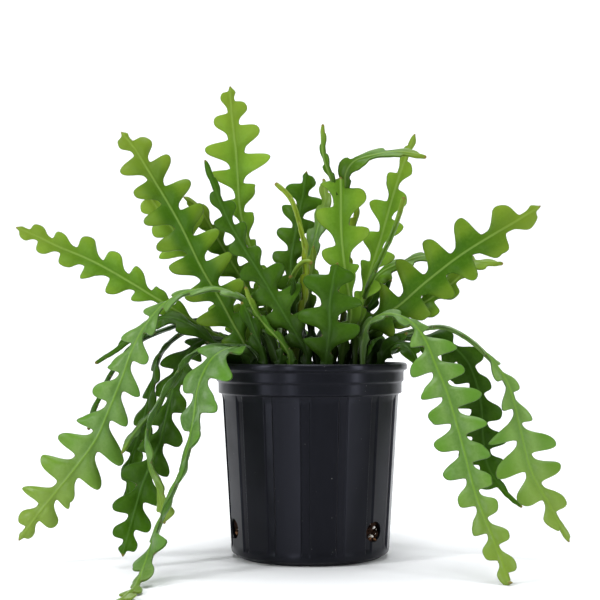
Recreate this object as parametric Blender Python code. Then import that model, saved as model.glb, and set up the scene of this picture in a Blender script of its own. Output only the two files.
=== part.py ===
"""A potted fishbone cactus: a fluted nursery pot, its potting mix and its lobed stems.

Lengths are in metres, written as millimetres times MM. +Z is up, the front looks along +Y,
and the origin lies on the surface, under the middle of the pot.

Each stem follows a smooth line through a few route points. Its flat blade has two edges,
whose lobes repeat every pitch and alternate from side to side, a thicker midrib, and a
round foot that stands in a plain hole in the potting mix.
"""
import math
from dataclasses import dataclass

import bmesh
import bpy
import numpy as np

MM = 0.001
GAP = 0.3 * MM

# The pot
POT_HEIGHT = 166 * MM
RIM_RADIUS = 84 * MM
SHOULDER_RADIUS = 76.6 * MM
SHOULDER_HEIGHT = 140 * MM
FOOT_RADIUS = 68.4 * MM
FOOT_FACE_RADIUS = 61 * MM
POT_WALL = 1.6 * MM
POT_FLOOR = 2 * MM
FLUTE_COUNT = 15
FLUTE_DEPTH = 1.3 * MM
FLUTE_HALF_ANGLE = math.radians(2.3)
FLUTE_SIDE_ANGLE = math.radians(1.0)
FIRST_FLUTE = math.radians(-93)
FLUTE_BOTTOM = 8 * MM
FLUTE_FULL = (11.5 * MM, 134 * MM)
FOOT_BEVEL = ((0.8 * MM, 4 * MM), (0, FLUTE_BOTTOM))
LEDGE_DROP = 0.5 * MM

# The collar's bead and bands from the ledge up to the rim: how far each lies inside the
# rim's edge, and its height
COLLAR = (
    (4.7 * MM, SHOULDER_HEIGHT),
    (4.7 * MM, 149.3 * MM),
    (3 * MM, 150.5 * MM),
    (3 * MM, 158.8 * MM),
    (0, 160.6 * MM),
    (0, POT_HEIGHT - 1.6 * MM),
    (1.5 * MM, POT_HEIGHT),
    (3 * MM, POT_HEIGHT - 0.6 * MM),
)
DRAIN_COUNT = 3
DRAIN_HEIGHT = 26 * MM
DRAIN_HALF_WIDTH = 9.5 * MM
DRAIN_HALF_HEIGHT = 8.5 * MM
DRAIN_SIDES = 12
DRAIN_REACH = (-12 * MM, 8 * MM)
FIRST_DRAIN = math.radians(-39)

# The potting mix
MIX_SIDES = 30
MIX_EDGE_HEIGHT = 152 * MM
MIX_TOP = 155 * MM
MIX_SHOULDER = 55 * MM
MIX_DOME = 0.6 * MM
HOLE_DEPTH = 16 * MM
HOLE_RADIUS = 4.8 * MM
HOLE_SIDES = 6

# The stems
FOOT_STEM_RADIUS = 3.4 * MM
FOOT_STEM_HALF_WIDTH = FOOT_STEM_RADIUS * math.cos(math.pi / 6)
UPRIGHT_FROM = -7 * MM
UPRIGHT_TO = 2 * MM
MIDRIB_HALF = 1.9 * MM
EDGE_HALF = 0.8 * MM
LEAST_HALF_WIDTH = 2.4 * MM
LOWEST_LINE = 2.4 * MM
LINE_STEP = 1 * MM
SMOOTHING = 5 * MM
THIN = 10.5
STALK_STEP = 18 * MM
LOBE_VARIATION = 0.09
MOST_LOBES = 32
SEED = 11

# One lobe's edge as (place along the pitch, height from the notch to the lobe's end): the
# notch, its far end, the lobe's shoulder and the lobe's corner. A square lobe ends across
# the midrib. A hooked one leans on towards the tip. A thin stem has only notch and end.
SQUARE_LOBE = np.array([(0.02, 0.0), (0.20, 0.1), (0.52, 1.0), (0.88, 1.0)])
HOOKED_LOBE = np.array([(0.03, 0.0), (0.30, 0.1), (0.84, 1.0), (1.08, 1.0)])
THIN_LOBE = np.array([(0.1, 0.2), (0.65, 1.0)])

# The ways that a blade can face
FRONT = (0, -1, 0)
BACK = (0, 1, 0)
UP = (0, 0, 1)
LEFT = (-1, 0, 0)
RIGHT = (1, 0, 0)
UP_FRONT = (0, -0.6, 0.8)
LEFT_FRONT = (-0.7, -0.7, 0)
RIGHT_FRONT = (0.7, -0.7, 0)
UP_LEFT = (-0.6, 0, 0.8)
UP_RIGHT = (0.6, 0, 0.8)

GREEN = (0.105, 0.235, 0.022)
DEEP = (0.045, 0.125, 0.014)
BLOOM = (0.160, 0.330, 0.105)
YOUNG = (0.270, 0.370, 0.030)
POT_BLACK = (0.012, 0.013, 0.016)
MIX_BROWN = (0.030, 0.018, 0.011)
POT_ROUGHNESS = 0.35
MIX_ROUGHNESS = 0.95
STEM_ROUGHNESS = 0.42
CREASE_ANGLE = math.radians(35)


@dataclass
class Stem:
    """A stem: its foot (x, y), its route above the mix, and how its blade runs, in mm.

    widths are half widths, spaced evenly from the start of the blade to its tip, and faces
    are the ways that the blade faces, spaced evenly from the foot to the tip. waist is the
    share of the half width left at a notch. A shoot has no foot: its route starts inside
    the stem that it grew on.
    """

    name: str
    foot: tuple
    route: list
    widths: tuple
    pitch: float
    faces: tuple = (FRONT,)
    hook: float = 0.1
    waist: float = 0.26
    stalk: float = 30
    start: int = 0
    colour: tuple = GREEN
    shoots: tuple = ()


STEMS = [
    Stem("stem_far_left", (-44, 4),
         [(-62, 8, 178), (-78, 4, 187), (-102, -1, 203), (-129, -3, 222), (-157, -4, 241),
          (-192, -4, 260), (-214, -5, 268), (-236, -5, 278), (-253, -6, 284)],
         (4, 9, 10, 17, 19, 19, 17, 11, 4), 22, (UP_FRONT, UP_FRONT, FRONT, FRONT, FRONT), stalk=52),
    Stem("stem_left_arch", (-26, -32),
         [(-36, -32, 192), (-48, -33, 211), (-71, -36, 227), (-98, -38, 228), (-120, -42, 220),
          (-135, -44, 206), (-150, -46, 182), (-158, -48, 160), (-168, -50, 133),
          (-178, -53, 107), (-191, -56, 87), (-223, -60, 45), (-239, -62, 22)],
         (4, 9, 13, 18, 19, 20, 21, 23, 24, 17, 6), 27,
         (RIGHT_FRONT, (0, -0.3, 0.95), (-0.4, -0.5, 0.75), FRONT, FRONT, FRONT), hook=0.9,
         stalk=56, colour=BLOOM),
    Stem("stem_tall_left", (-54, -22),
         [(-54, -22, 178), (-65, -19, 198), (-77, -15, 222), (-91, -11, 247), (-111, -7, 289),
          (-138, -3, 335), (-152, -1, 358), (-162, 0, 370)],
         (5, 12, 21, 24, 25, 24, 22, 18, 6), 26, waist=0.38, stalk=28),
    Stem("stem_behind_tall_left", (-50, 16),
         [(-55, 15, 183), (-76, 11, 212), (-100, 11, 251), (-112, 12, 271), (-124, 13, 292),
          (-139, 14, 319)],
         (4, 12, 20, 22, 21, 17, 6), 23, start=2, stalk=36, colour=YOUNG),
    Stem("stem_inner_left", (-30, 4),
         [(-41, 12, 192), (-48, 21, 214), (-62, 25, 243), (-76, 26, 267), (-93, 26, 297),
          (-100, 27, 308), (-110, 28, 315)],
         (4, 10, 16, 16, 11, 7, 3), 23, stalk=40, colour=DEEP),
    Stem("stem_top", (-30, 20),
         [(-36, 24, 192), (-40, 28, 224), (-46, 30, 250), (-56, 32, 281), (-60, 33, 300),
          (-63, 35, 336), (-65, 36, 359), (-68, 37, 381), (-71, 38, 414)],
         (4, 7, 8, 8, 8, 9, 26, 28, 17, 6), 25, start=1, stalk=40),
    Stem("stem_front_diagonal", (-3, -46),
         [(-3, -46, 175), (-12, -45, 191), (-27, -43, 217), (-39, -41, 239), (-54, -39, 264),
          (-71, -37, 295), (-76, -36, 307), (-88, -34, 339)],
         (5, 14, 23, 24, 24, 18, 11, 9, 3), 23, stalk=28, colour=DEEP,
         shoots=(Stem("", None, [(-17, -43, 220), (-14, -46, 227), (-13, -50, 235), (-17, -52, 239)],
                      (2.4, 2.4), 20, (RIGHT,), stalk=0),)),
    Stem("stem_front_left_short", (-39, -47),
         [(-40, -50, 175), (-47, -55, 192), (-53, -57, 209), (-57, -57, 217)],
         (5, 9, 9, 5), 26, (RIGHT_FRONT,), hook=0, stalk=29, colour=BLOOM),
    Stem("stem_brown_tipped", (-14, -56),
         [(-17, -58, 176), (-26, -56, 187), (-40, -49, 202), (-46, -47, 210), (-54, -46, 230)],
         (4, 5, 5, 3), 18, (LEFT_FRONT,), stalk=30),
    Stem("stem_front_short", (13, -50),
         [(14, -50, 175), (17, -50, 194), (18, -49, 214), (21, -47, 235), (23, -46, 246)],
         (5, 20, 25, 24, 20, 10), 24, hook=-0.1, start=1, stalk=28, colour=DEEP),
    Stem("stem_centre", (26, -32),
         [(30, -32, 188), (35, -32, 205), (34, -32, 222), (31, -31, 249), (28, -30, 277),
          (27, -30, 307), (26, -30, 323)],
         (5, 8, 9, 10, 19, 21, 21, 15), 32, start=1, stalk=40,
         shoots=(Stem("", None, [(22, -30, 308), (18, -31, 326), (15, -29, 339), (12, -29, 354),
                                 (11, -29, 369)], (3, 4, 5, 4, 2.6), 18, (LEFT_FRONT,), stalk=0),
                 Stem("", None, [(31, -30, 314), (31, -31, 329), (37, -33, 339), (47, -35, 343),
                                 (71, -38, 346), (98, -40, 341)], (3, 7, 7, 6, 5, 2.6), 22,
                      (LEFT_FRONT, UP_FRONT, UP_FRONT), stalk=0))),
    Stem("stem_right_upright", (38, -28),
         [(38, -28, 175), (39, -26, 192), (44, -18, 216), (52, -8, 243), (64, -1, 279),
          (71, 3, 305), (80, 5, 334), (92, 7, 366)],
         (4, 6, 10, 15, 17, 17, 14, 11, 5), 30, hook=0, start=1, stalk=50,
         shoots=(Stem("", None, [(46, -16.6, 221), (50, -20, 233), (57, -23, 252), (69, -26, 279),
                                 (75, -27, 293), (80, -28, 307)], (3, 9, 10, 9, 7, 2.6), 26,
                      (RIGHT,), stalk=0),)),
    Stem("stem_right_thin_arch", (36, 20),
         [(47, 19, 197), (51, 16, 228), (57, 14, 243), (74, 12, 255), (100, 10, 262),
          (134, 9, 256), (170, 8, 254)],
         (4, 7, 8, 8, 7, 6, 3), 24, (UP_FRONT,), stalk=45),
    Stem("stem_right_reaching", (40, 0),
         [(42, -1, 184), (53, -6, 201), (71, -10, 212), (95, -14, 234), (130, -17, 262),
          (152, -19, 276), (185, -20, 296), (197, -21, 304)],
         (4, 18, 26, 27, 27, 27, 24, 16, 4), 30, hook=-0.2, waist=0.36, start=2, stalk=42),
    Stem("stem_right_lower", (46, 12),
         [(50, 10, 188), (60, 7, 195), (90, 3, 213), (105, 2, 224), (133, 0, 245), (143, 0, 256)],
         (4, 8, 14, 19, 18, 12, 4), 27, (FRONT, UP_FRONT, FRONT), start=1, stalk=46),
    Stem("stem_right_front_drooping", (44, -42),
         [(45, -42, 188), (48, -43, 198), (61, -46, 206), (82, -52, 200), (95, -60, 183),
          (102, -68, 164), (110, -76, 145), (121, -92, 107), (131, -110, 66), (144, -128, 32),
          (153, -147, 4)],
         (4, 6, 9, 15, 18, 20, 20, 19, 17, 12, 4), 22,
         (UP_FRONT, UP_FRONT, (0.2, -0.9, 0.3), FRONT, FRONT, FRONT), waist=0.36, start=1,
         stalk=48, colour=BLOOM),
    Stem("stem_far_right_drooping", (62, 0),
         [(62, 2, 180), (73, 4, 188), (99, 3, 195), (115, 1, 197), (130, -2, 191),
          (153, -8, 172), (170, -16, 147), (179, -24, 111), (188, -31, 74), (203, -37, 45),
          (218, -41, 17)],
         (4, 5, 6, 6, 9, 12, 16, 24, 24, 16, 5), 26, (UP_FRONT, UP, UP_RIGHT, FRONT, FRONT, FRONT),
         hook=0.2, waist=0.3, stalk=45, colour=BLOOM),
    Stem("stem_right_back_drooping", (56, 16),
         [(61, 17, 179), (88, 16, 187), (118, 14, 184), (133, 12, 176), (147, 8, 145),
          (151, 4, 105), (155, 2, 82), (173, 0, 55), (187, -2, 43)],
         (4, 8, 13, 17, 18, 17, 10, 4, 2.6), 26, (UP_FRONT, UP_FRONT, FRONT, FRONT, UP_FRONT),
         start=2, stalk=40, colour=DEEP),
    Stem("stem_rim_right_small", (58, -20),
         [(63, -23, 176), (74, -30, 182), (81, -36, 182), (86, -43, 176), (88, -47, 168)],
         (4, 7, 8, 4), 20, (UP_FRONT, RIGHT_FRONT), stalk=34, colour=DEEP),
    Stem("stem_right_short_brown", (50, -12),
         [(55, -14, 176), (72, -18, 182), (79, -20, 187), (83, -22, 192)],
         (4, 8, 9, 4), 20, stalk=30, colour=DEEP),
    Stem("stem_right_thin_upright", (28, 4),
         [(39, 4, 188), (47, 3, 207), (56, 2, 220), (66, 1, 238)],
         (3, 4, 4, 2.6), 22, (RIGHT_FRONT,), stalk=34, colour=DEEP),
    Stem("stem_pale_tip", (18, 14),
         [(27, 14, 197), (33, 15, 232), (36, 16, 263), (40, 16, 287), (42, 16, 306)],
         (3, 4, 4, 5, 5, 3), 24, (RIGHT_FRONT,), stalk=40, colour=YOUNG),
    Stem("stem_centre_small", (8, -14),
         [(3, -11, 182), (-1, -7, 205), (0, -6, 231), (6, -5, 255), (9, -5, 264)],
         (3, 6, 8, 9, 4), 20, stalk=50),
    Stem("stem_centre_pale", (-2, -2),
         [(-6, 2, 192), (-7, 5, 218), (-2, 6, 249), (7, 7, 288), (13, 8, 308), (11, 9, 327)],
         (3, 6, 7, 7, 7, 6, 3), 22, (LEFT_FRONT,), stalk=50, colour=BLOOM),
    Stem("stem_centre_back", (-10, 12),
         [(-10, 13, 197), (-13, 14, 223), (-16, 15, 245), (-11, 17, 283), (-4, 19, 318),
          (-2, 20, 335)],
         (4, 10, 15, 16, 16, 14, 7), 21, start=1, stalk=44, colour=DEEP),
    Stem("stem_centre_yellow", (-14, -22),
         [(-12, -24, 185), (-8, -24, 205), (-4, -23, 239), (-3, -22, 255), (-8, -20, 287),
          (-17, -18, 311), (-28, -17, 321)],
         (4, 7, 8, 9, 8, 6, 3), 22, (RIGHT_FRONT, RIGHT), stalk=44, colour=YOUNG),
    Stem("stem_centre_curled", (-24, -14),
         [(-22, -18, 190), (-20, -23, 215), (-16, -28, 236), (-10, -30, 248), (-3, -32, 254),
          (2, -34, 250)],
         (3, 7, 7, 5, 3), 22, (LEFT_FRONT, UP_LEFT, UP), stalk=44),
    Stem("stem_left_low_arch", (-42, -13),
         [(-59, -13, 177), (-79, -16, 180), (-101, -16, 197), (-125, -15, 207),
          (-149, -13, 193), (-172, -11, 176), (-186, -10, 166)],
         (4, 8, 10, 9, 6, 5, 3), 25, (UP_FRONT,), stalk=64, colour=DEEP),
    Stem("stem_left_back_thin", (-42, 30),
         [(-58, 28, 188), (-77, 24, 201), (-100, 21, 205), (-122, 18, 200), (-153, 14, 186),
          (-172, 10, 160), (-185, 6, 131), (-192, 4, 108)],
         (4, 7, 8, 7, 6, 5, 5, 3), 28, (RIGHT_FRONT, UP, UP_LEFT, LEFT_FRONT), stalk=50,
         colour=DEEP),
    Stem("stem_left_back_drooping", (-55, 26),
         [(-61, 24, 182), (-74, 20, 188), (-90, 15, 192), (-104, 10, 193), (-119, 4, 184),
          (-129, -1, 172), (-136, -11, 142), (-145, -23, 106), (-154, -32, 78), (-154, -41, 42)],
         (4, 8, 12, 14, 14, 14, 12, 9, 3), 25, (RIGHT_FRONT, UP, UP_LEFT, LEFT_FRONT, LEFT_FRONT),
         stalk=52, colour=DEEP),
    Stem("stem_left_wide_drooping", (-58, -2),
         [(-64, -5, 179), (-77, -7, 184), (-90, -10, 184), (-101, -17, 178), (-108, -25, 166),
          (-117, -39, 135), (-120, -44, 120), (-125, -50, 100), (-138, -60, 64),
          (-143, -66, 43), (-151, -74, 11)],
         (4, 9, 18, 23, 23, 22, 19, 13, 4), 26,
         (RIGHT_FRONT, UP_FRONT, (-0.3, -0.9, 0.2), FRONT, FRONT), hook=0.5, stalk=62,
         colour=DEEP),
    Stem("stem_left_edge_on", (-40, -28),
         [(-50, -29, 177), (-60, -31, 179), (-85, -37, 181), (-99, -45, 175), (-112, -53, 157),
          (-127, -61, 134), (-133, -67, 111), (-129, -73, 87), (-118, -81, 57),
          (-116, -85, 38)],
         (4, 8, 10, 10, 9, 10, 10, 9, 4), 28, (RIGHT_FRONT, UP, LEFT, LEFT, LEFT_FRONT), stalk=54,
         shoots=(Stem("", None, [(-131, -63.6, 124), (-138, -62, 117), (-146, -61, 107),
                                 (-154, -60, 95)], (3, 4, 2.6), 20, stalk=0),)),
    Stem("stem_front_trailing", (-46, -40),
         [(-47, -42, 172), (-58, -49, 178), (-77, -63, 173), (-89, -71, 153), (-94, -80, 118),
          (-98, -88, 95), (-110, -101, 63), (-119, -112, 41), (-126, -131, 18),
          (-130, -150, 8), (-132, -180, 3), (-137, -228, 2)],
         (4, 12, 16, 16, 14, 12, 10, 9, 10, 12, 13, 12, 5), 31,
         (RIGHT_FRONT, UP, (-0.4, -0.8, 0.3), (-0.3, -0.9, 0.1), (-0.9, -0.4, 0),
          (-0.9, -0.2, 0.1), (-0.8, -0.1, 0.6), UP, UP, UP), hook=0.4, start=2, stalk=32),
    Stem("stem_front_stub", (-26, -47), [(-25, -49, 168), (-23, -50, 181)], (6, 6), 40, hook=0,
         stalk=28, colour=DEEP),
    Stem("stem_back_left", (-40, 42),
         [(-42, 52, 190), (-50, 68, 199), (-55, 84, 193), (-57, 96, 169), (-59, 104, 131),
          (-59, 110, 84)],
         (4, 10, 14, 15, 14, 11, 4), 28, (FRONT, UP, BACK, BACK), stalk=50, colour=DEEP),
    Stem("stem_back_1", (-26, 46),
         [(-26, 60, 192), (-31, 80, 204), (-35, 100, 205), (-37, 118, 188), (-40, 130, 150),
          (-41, 138, 100), (-42, 142, 52), (-42, 146, 20)],
         (4, 12, 16, 17, 17, 16, 12, 4), 29, (FRONT, UP, BACK, BACK), start=1, stalk=55),
    Stem("stem_back_2", (-8, 54),
         [(-9, 68, 192), (-12, 90, 209), (-13, 112, 206), (-14, 130, 184), (-14, 142, 140),
          (-14, 150, 90), (-14, 155, 45)],
         (4, 12, 15, 15, 15, 14, 5), 29, (FRONT, UP, BACK, BACK), start=2, stalk=50,
         colour=BLOOM),
    Stem("stem_back_3", (10, 52),
         [(11, 66, 193), (15, 86, 206), (18, 106, 207), (20, 124, 193), (21, 138, 155),
          (22, 146, 107), (23, 150, 62)],
         (4, 12, 14, 14, 14, 12, 4), 28, (FRONT, UP, BACK, BACK), stalk=50, colour=DEEP),
    Stem("stem_back_4", (26, 44),
         [(31, 56, 192), (40, 74, 208), (48, 94, 211), (53, 112, 197), (57, 126, 165),
          (60, 134, 120), (62, 138, 75), (63, 142, 35)],
         (4, 11, 15, 16, 16, 15, 11, 4), 29, (FRONT, UP, BACK, BACK), start=3, stalk=52),
    Stem("stem_back_right", (42, 34),
         [(48, 46, 190), (53, 62, 197), (57, 80, 192), (60, 96, 168), (61, 104, 131),
          (60, 110, 84)],
         (4, 9, 12, 13, 12, 11, 4), 27, (FRONT, UP, BACK, BACK), start=1, stalk=48,
         colour=DEEP),
]


def clear_scene():
    """Remove the objects that a new file holds."""
    for thing in list(bpy.data.objects):
        bpy.data.objects.remove(thing, do_unlink=True)


def plain_material(name, colour, roughness):
    """A Principled material with the piece's colour."""
    material = bpy.data.materials.new(name)
    material.use_nodes = True
    shader = material.node_tree.nodes["Principled BSDF"]
    shader.inputs["Base Color"].default_value = (*colour, 1)
    shader.inputs["Roughness"].default_value = roughness
    shader.inputs["Metallic"].default_value = 0
    return material


def add_object(name, points, faces):
    """An object from points and faces, with its faces turned outwards."""
    mesh = bpy.data.meshes.new(name)
    mesh.from_pydata([tuple(point) for point in points], [], faces)
    shape = bmesh.new()
    shape.from_mesh(mesh)
    bmesh.ops.recalc_face_normals(shape, faces=shape.faces)
    shape.to_mesh(mesh)
    shape.free()
    thing = bpy.data.objects.new(name, mesh)
    bpy.context.scene.collection.objects.link(thing)
    return thing


def combine(target, tools, operation, solver="EXACT"):
    """Join the tools to the target, or cut them out, in one step, and remove the tools."""
    group = bpy.data.collections.new("tools")
    for tool in tools:
        group.objects.link(tool)
    modifier = target.modifiers.new(operation.title(), "BOOLEAN")
    modifier.operation = operation
    modifier.solver = solver
    modifier.operand_type = "COLLECTION"
    modifier.collection = group
    bpy.context.view_layer.update()
    seen = target.evaluated_get(bpy.context.evaluated_depsgraph_get())
    result = bpy.data.meshes.new_from_object(seen)
    target.modifiers.clear()
    target.data = result
    for tool in tools:
        bpy.data.objects.remove(tool, do_unlink=True)
    bpy.data.collections.remove(group)


def ring_faces(ring_count, sides):
    """The quads between closed rings of points, with a cap on the first and last ring."""
    faces = []
    for ring in range(ring_count - 1):
        low = ring * sides
        high = low + sides
        for side in range(sides):
            after = (side + 1) % sides
            faces.append((low + side, low + after, high + after, high + side))
    faces.append(tuple(range(sides)))
    faces.append(tuple(range((ring_count - 1) * sides, ring_count * sides)))
    return faces


def fluted_ring(radius, height, recess):
    """One level of the pot's wall: each flute's two edges and floor, then the panel's middle."""
    step = math.tau / FLUTE_COUNT
    edge = FLUTE_HALF_ANGLE + FLUTE_SIDE_ANGLE
    around = ((-edge, 0), (-FLUTE_HALF_ANGLE, recess), (FLUTE_HALF_ANGLE, recess), (edge, 0),
              (step / 2, 0))
    points = []
    for flute in range(FLUTE_COUNT):
        middle = FIRST_FLUTE + flute * step
        for offset, depth in around:
            reach = radius - depth
            angle = middle + offset
            points.append((reach * math.cos(angle), reach * math.sin(angle), height))
    return points


def wall_radius(height):
    """The wall's outer radius below the collar, which widens evenly from foot to shoulder."""
    share = (height - FLUTE_BOTTOM) / (SHOULDER_HEIGHT - FLUTE_BOTTOM)
    return FOOT_RADIUS + share * (SHOULDER_RADIUS - FOOT_RADIUS)


def pot_outside():
    """The pot's outer levels from the foot to the rim, as (radius, height, recess)."""
    foot = [(FOOT_RADIUS - inset, height, 0) for inset, height in FOOT_BEVEL]
    fluted = [(wall_radius(height), height, FLUTE_DEPTH) for height in FLUTE_FULL]
    ledge = (SHOULDER_RADIUS, SHOULDER_HEIGHT - LEDGE_DROP, 0)
    collar = [(RIM_RADIUS - inset, height, 0) for inset, height in COLLAR]
    return [(FOOT_FACE_RADIUS, 0, 0), *foot, *fluted, ledge, *collar]


def pot_inside():
    """The pot's inner levels from the shoulder to the floor, as (radius, height, recess)."""
    fluted = [(wall_radius(height) - POT_WALL, height, FLUTE_DEPTH)
              for height in reversed(FLUTE_FULL)]
    shoulder = (SHOULDER_RADIUS - POT_WALL, SHOULDER_HEIGHT, 0)
    return [shoulder, *fluted, (FOOT_FACE_RADIUS + POT_WALL, POT_FLOOR, 0)]


def drain_cutter(angle):
    """An oval bar through the wall, pointing outwards at the angle."""
    outward = np.array((math.cos(angle), math.sin(angle), 0))
    across = np.array((-math.sin(angle), math.cos(angle), 0))
    points = []
    for reach in DRAIN_REACH:
        for side in range(DRAIN_SIDES):
            turn = math.tau * (side + 0.5) / DRAIN_SIDES
            point = outward * (FOOT_RADIUS + reach) + across * DRAIN_HALF_WIDTH * math.cos(turn)
            point[2] = DRAIN_HEIGHT + DRAIN_HALF_HEIGHT * math.sin(turn)
            points.append(point)
    return add_object("drain_cutter", points, ring_faces(2, DRAIN_SIDES))


def make_pot():
    """The pot: its outer and inner levels in one skin, with oval drain holes cut through."""
    levels = pot_outside() + pot_inside()
    points = []
    for radius, height, recess in levels:
        points.extend(fluted_ring(radius, height, recess))
    sides = len(points) // len(levels)
    pot = add_object("pot", points, ring_faces(len(levels), sides))
    turns = [FIRST_DRAIN + drain * math.tau / DRAIN_COUNT for drain in range(DRAIN_COUNT)]
    combine(pot, [drain_cutter(turn) for turn in turns], "DIFFERENCE")
    return pot


def round_ring(radius, height, sides, centre=(0, 0), turn=0):
    """A level ring of points."""
    angles = [turn + math.tau * side / sides for side in range(sides)]
    return [(centre[0] + radius * math.cos(angle), centre[1] + radius * math.sin(angle), height)
            for angle in angles]


def mix_radius(height):
    """The plug's radius, a gap inside the flutes' backs."""
    clear = POT_WALL + FLUTE_DEPTH + GAP
    return wall_radius(height) - clear


def make_mix():
    """The plug of potting mix, low at its edge, with a plain hole for each stem's foot."""
    bevel = FLUTE_FULL[0]
    levels = [
        (FOOT_FACE_RADIUS, POT_FLOOR + GAP),
        (mix_radius(bevel), bevel),
        (mix_radius(SHOULDER_HEIGHT), SHOULDER_HEIGHT),
        (mix_radius(MIX_EDGE_HEIGHT), MIX_EDGE_HEIGHT),
        (MIX_SHOULDER, MIX_TOP - MIX_DOME),
        (MIX_SHOULDER / 2, MIX_TOP),
    ]
    points = []
    for radius, height in levels:
        points.extend(round_ring(radius, height, MIX_SIDES))
    mix = add_object("potting_mix", points, ring_faces(len(levels), MIX_SIDES))
    combine(mix, [hole_cutter(stem.foot) for stem in STEMS], "DIFFERENCE")
    return mix


def hole_cutter(foot):
    """An upright prism at a stem's foot."""
    centre = (foot[0] * MM, foot[1] * MM)
    points = []
    for height in (MIX_TOP - HOLE_DEPTH, MIX_TOP + HOLE_DEPTH):
        points.extend(round_ring(HOLE_RADIUS, height, HOLE_SIDES, centre, math.pi / HOLE_SIDES))
    return add_object("hole_cutter", points, ring_faces(2, HOLE_SIDES))


def curve_through(points):
    """A smooth curve through the points, read every LINE_STEP.

    Each stretch is a cubic whose end slopes are the weighted means of its neighbours' slopes.
    """
    points = np.asarray(points, float)
    spans = np.linalg.norm(np.diff(points, axis=0), axis=1)
    slopes = np.diff(points, axis=0) / spans[:, None]
    ends = np.vstack((slopes[:1], slopes, slopes[-1:]))
    weights = np.concatenate((spans[:1], spans, spans[-1:]))
    tangents = ends[:-1] * weights[1:, None] + ends[1:] * weights[:-1, None]
    tangents /= (weights[1:] + weights[:-1])[:, None]
    pieces = []
    for index, span in enumerate(spans):
        count = max(int(round(span / LINE_STEP)), 2)
        t = np.linspace(0, 1, count, endpoint=False)[:, None]
        pieces.append(points[index] * (2 * t**3 - 3 * t**2 + 1)
                      + points[index + 1] * (3 * t**2 - 2 * t**3)
                      + tangents[index] * span * (t**3 - 2 * t**2 + t)
                      + tangents[index + 1] * span * (t**3 - t**2))
    pieces.append(points[-1:])
    return np.vstack(pieces)


def even_line(points):
    """The same line with points every LINE_STEP along it."""
    lengths = np.concatenate(((0,), np.cumsum(np.linalg.norm(np.diff(points, axis=0), axis=1))))
    count = max(int(lengths[-1] / LINE_STEP), 4)
    places = np.linspace(0, lengths[-1], count + 1)
    return np.stack([np.interp(places, lengths, points[:, axis]) for axis in range(3)], axis=1)


def softened(values, spread):
    """The values blurred along the line by a bell curve, with both ends kept in place."""
    reach = min(int(3 * spread / LINE_STEP), len(values) - 1)
    places = np.arange(-reach, reach + 1) * LINE_STEP
    bell = np.exp(-0.5 * (places / spread) ** 2)
    bell /= bell.sum()
    before = 2 * values[0] - values[reach:0:-1]
    after = 2 * values[-1] - values[-2:-reach - 2:-1]
    padded = np.vstack((before, values, after))
    columns = [np.convolve(padded[:, axis], bell, "valid") for axis in range(values.shape[1])]
    return np.stack(columns, axis=1)


def centre_line(stem):
    """The stem's middle line from the foot in its hole to the tip, in metres."""
    route = [np.array(point) * MM for point in stem.route]
    if stem.foot:
        x, y = (value * MM for value in stem.foot)
        upright = (GAP - HOLE_DEPTH, UPRIGHT_FROM, UPRIGHT_TO)
        route = [np.array((x, y, MIX_TOP + height)) for height in upright] + route
    line = softened(even_line(curve_through(route)), SMOOTHING)
    line[:, 2] = np.maximum(line[:, 2], LOWEST_LINE)
    return even_line(line)


class Path:
    """A centre line with the blade's side and face directions, read at any place along it."""

    def __init__(self, stem):
        self.line = centre_line(stem)
        steps = np.linalg.norm(np.diff(self.line, axis=0), axis=1)
        self.places = np.concatenate(((0,), np.cumsum(steps)))
        self.length = self.places[-1]
        along = unit(np.gradient(self.line, axis=0))
        keys = np.linspace(0, self.length, len(stem.faces))
        wanted = np.stack([np.interp(self.places, keys, [face[axis] for face in stem.faces])
                           for axis in range(3)], axis=1)
        self.side = unit(np.cross(along, wanted))
        self.face = unit(np.cross(self.side, along))

    def read(self, values, place):
        """One of the line's columns of values at a place along it."""
        return np.array([np.interp(place, self.places, values[:, axis]) for axis in range(3)])

    def point(self, place, across, out):
        """The point that lies across and out from the middle line at a place along it."""
        place = min(max(place, 0), self.length)
        return (self.read(self.line, place) + self.read(self.side, place) * across
                + self.read(self.face, place) * out)


def unit(vectors):
    """The vectors at length one."""
    return vectors / np.linalg.norm(vectors, axis=1)[:, None]


def lobe_corners(stem):
    """A lobe's corners: a thin stem's two, or four between square and hooked."""
    if max(stem.widths) <= THIN:
        return THIN_LOBE
    return SQUARE_LOBE + stem.hook * (HOOKED_LOBE - SQUARE_LOBE)


def lobe_and_phase(stem, step, hand):
    """Which lobe an edge has at a step, and which of its corners. Right runs half a lobe on."""
    steps = len(lobe_corners(stem))
    ahead = steps // 2 if hand > 0 else 0
    return divmod(step + stem.start + ahead, steps)


def half_width(stem, share):
    """The blade's half width to its lobes' ends, at a share of the way along the blade."""
    keys = np.linspace(0, 1, len(stem.widths))
    return float(np.interp(share, keys, stem.widths)) * MM


def edge_point(stem, blade, step, hand):
    """Where an edge lies at a step: its place along the blade and its half width."""
    corners = lobe_corners(stem)
    lobe, phase = lobe_and_phase(stem, step, hand)
    offset, height = corners[phase]
    share = stem.waist + height * (1 - stem.waist)
    place = blade["first"] + (step - phase + offset * len(corners)) * blade["step"]
    place = min(max(place, blade["first"]), blade["last"])
    along = (place - blade["first"]) / (blade["last"] - blade["first"])
    width = half_width(stem, along) * share * blade["vary"][hand][lobe % MOST_LOBES]
    return place, max(width, LEAST_HALF_WIDTH)


def blade_plan(stem, path, number):
    """Where the blade starts and ends, its step, and each lobe's own size."""
    first = stem.stalk * MM
    count = max(int(round((path.length - first) / (stem.pitch * MM / len(lobe_corners(stem))))), 2)
    draw = np.random.default_rng(SEED + number)
    vary = {hand: 1 + LOBE_VARIATION * draw.uniform(-1, 1, MOST_LOBES) for hand in (-1, 1)}
    return {"first": first, "last": path.length, "count": count,
            "step": (path.length - first) / count, "vary": vary}


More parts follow.
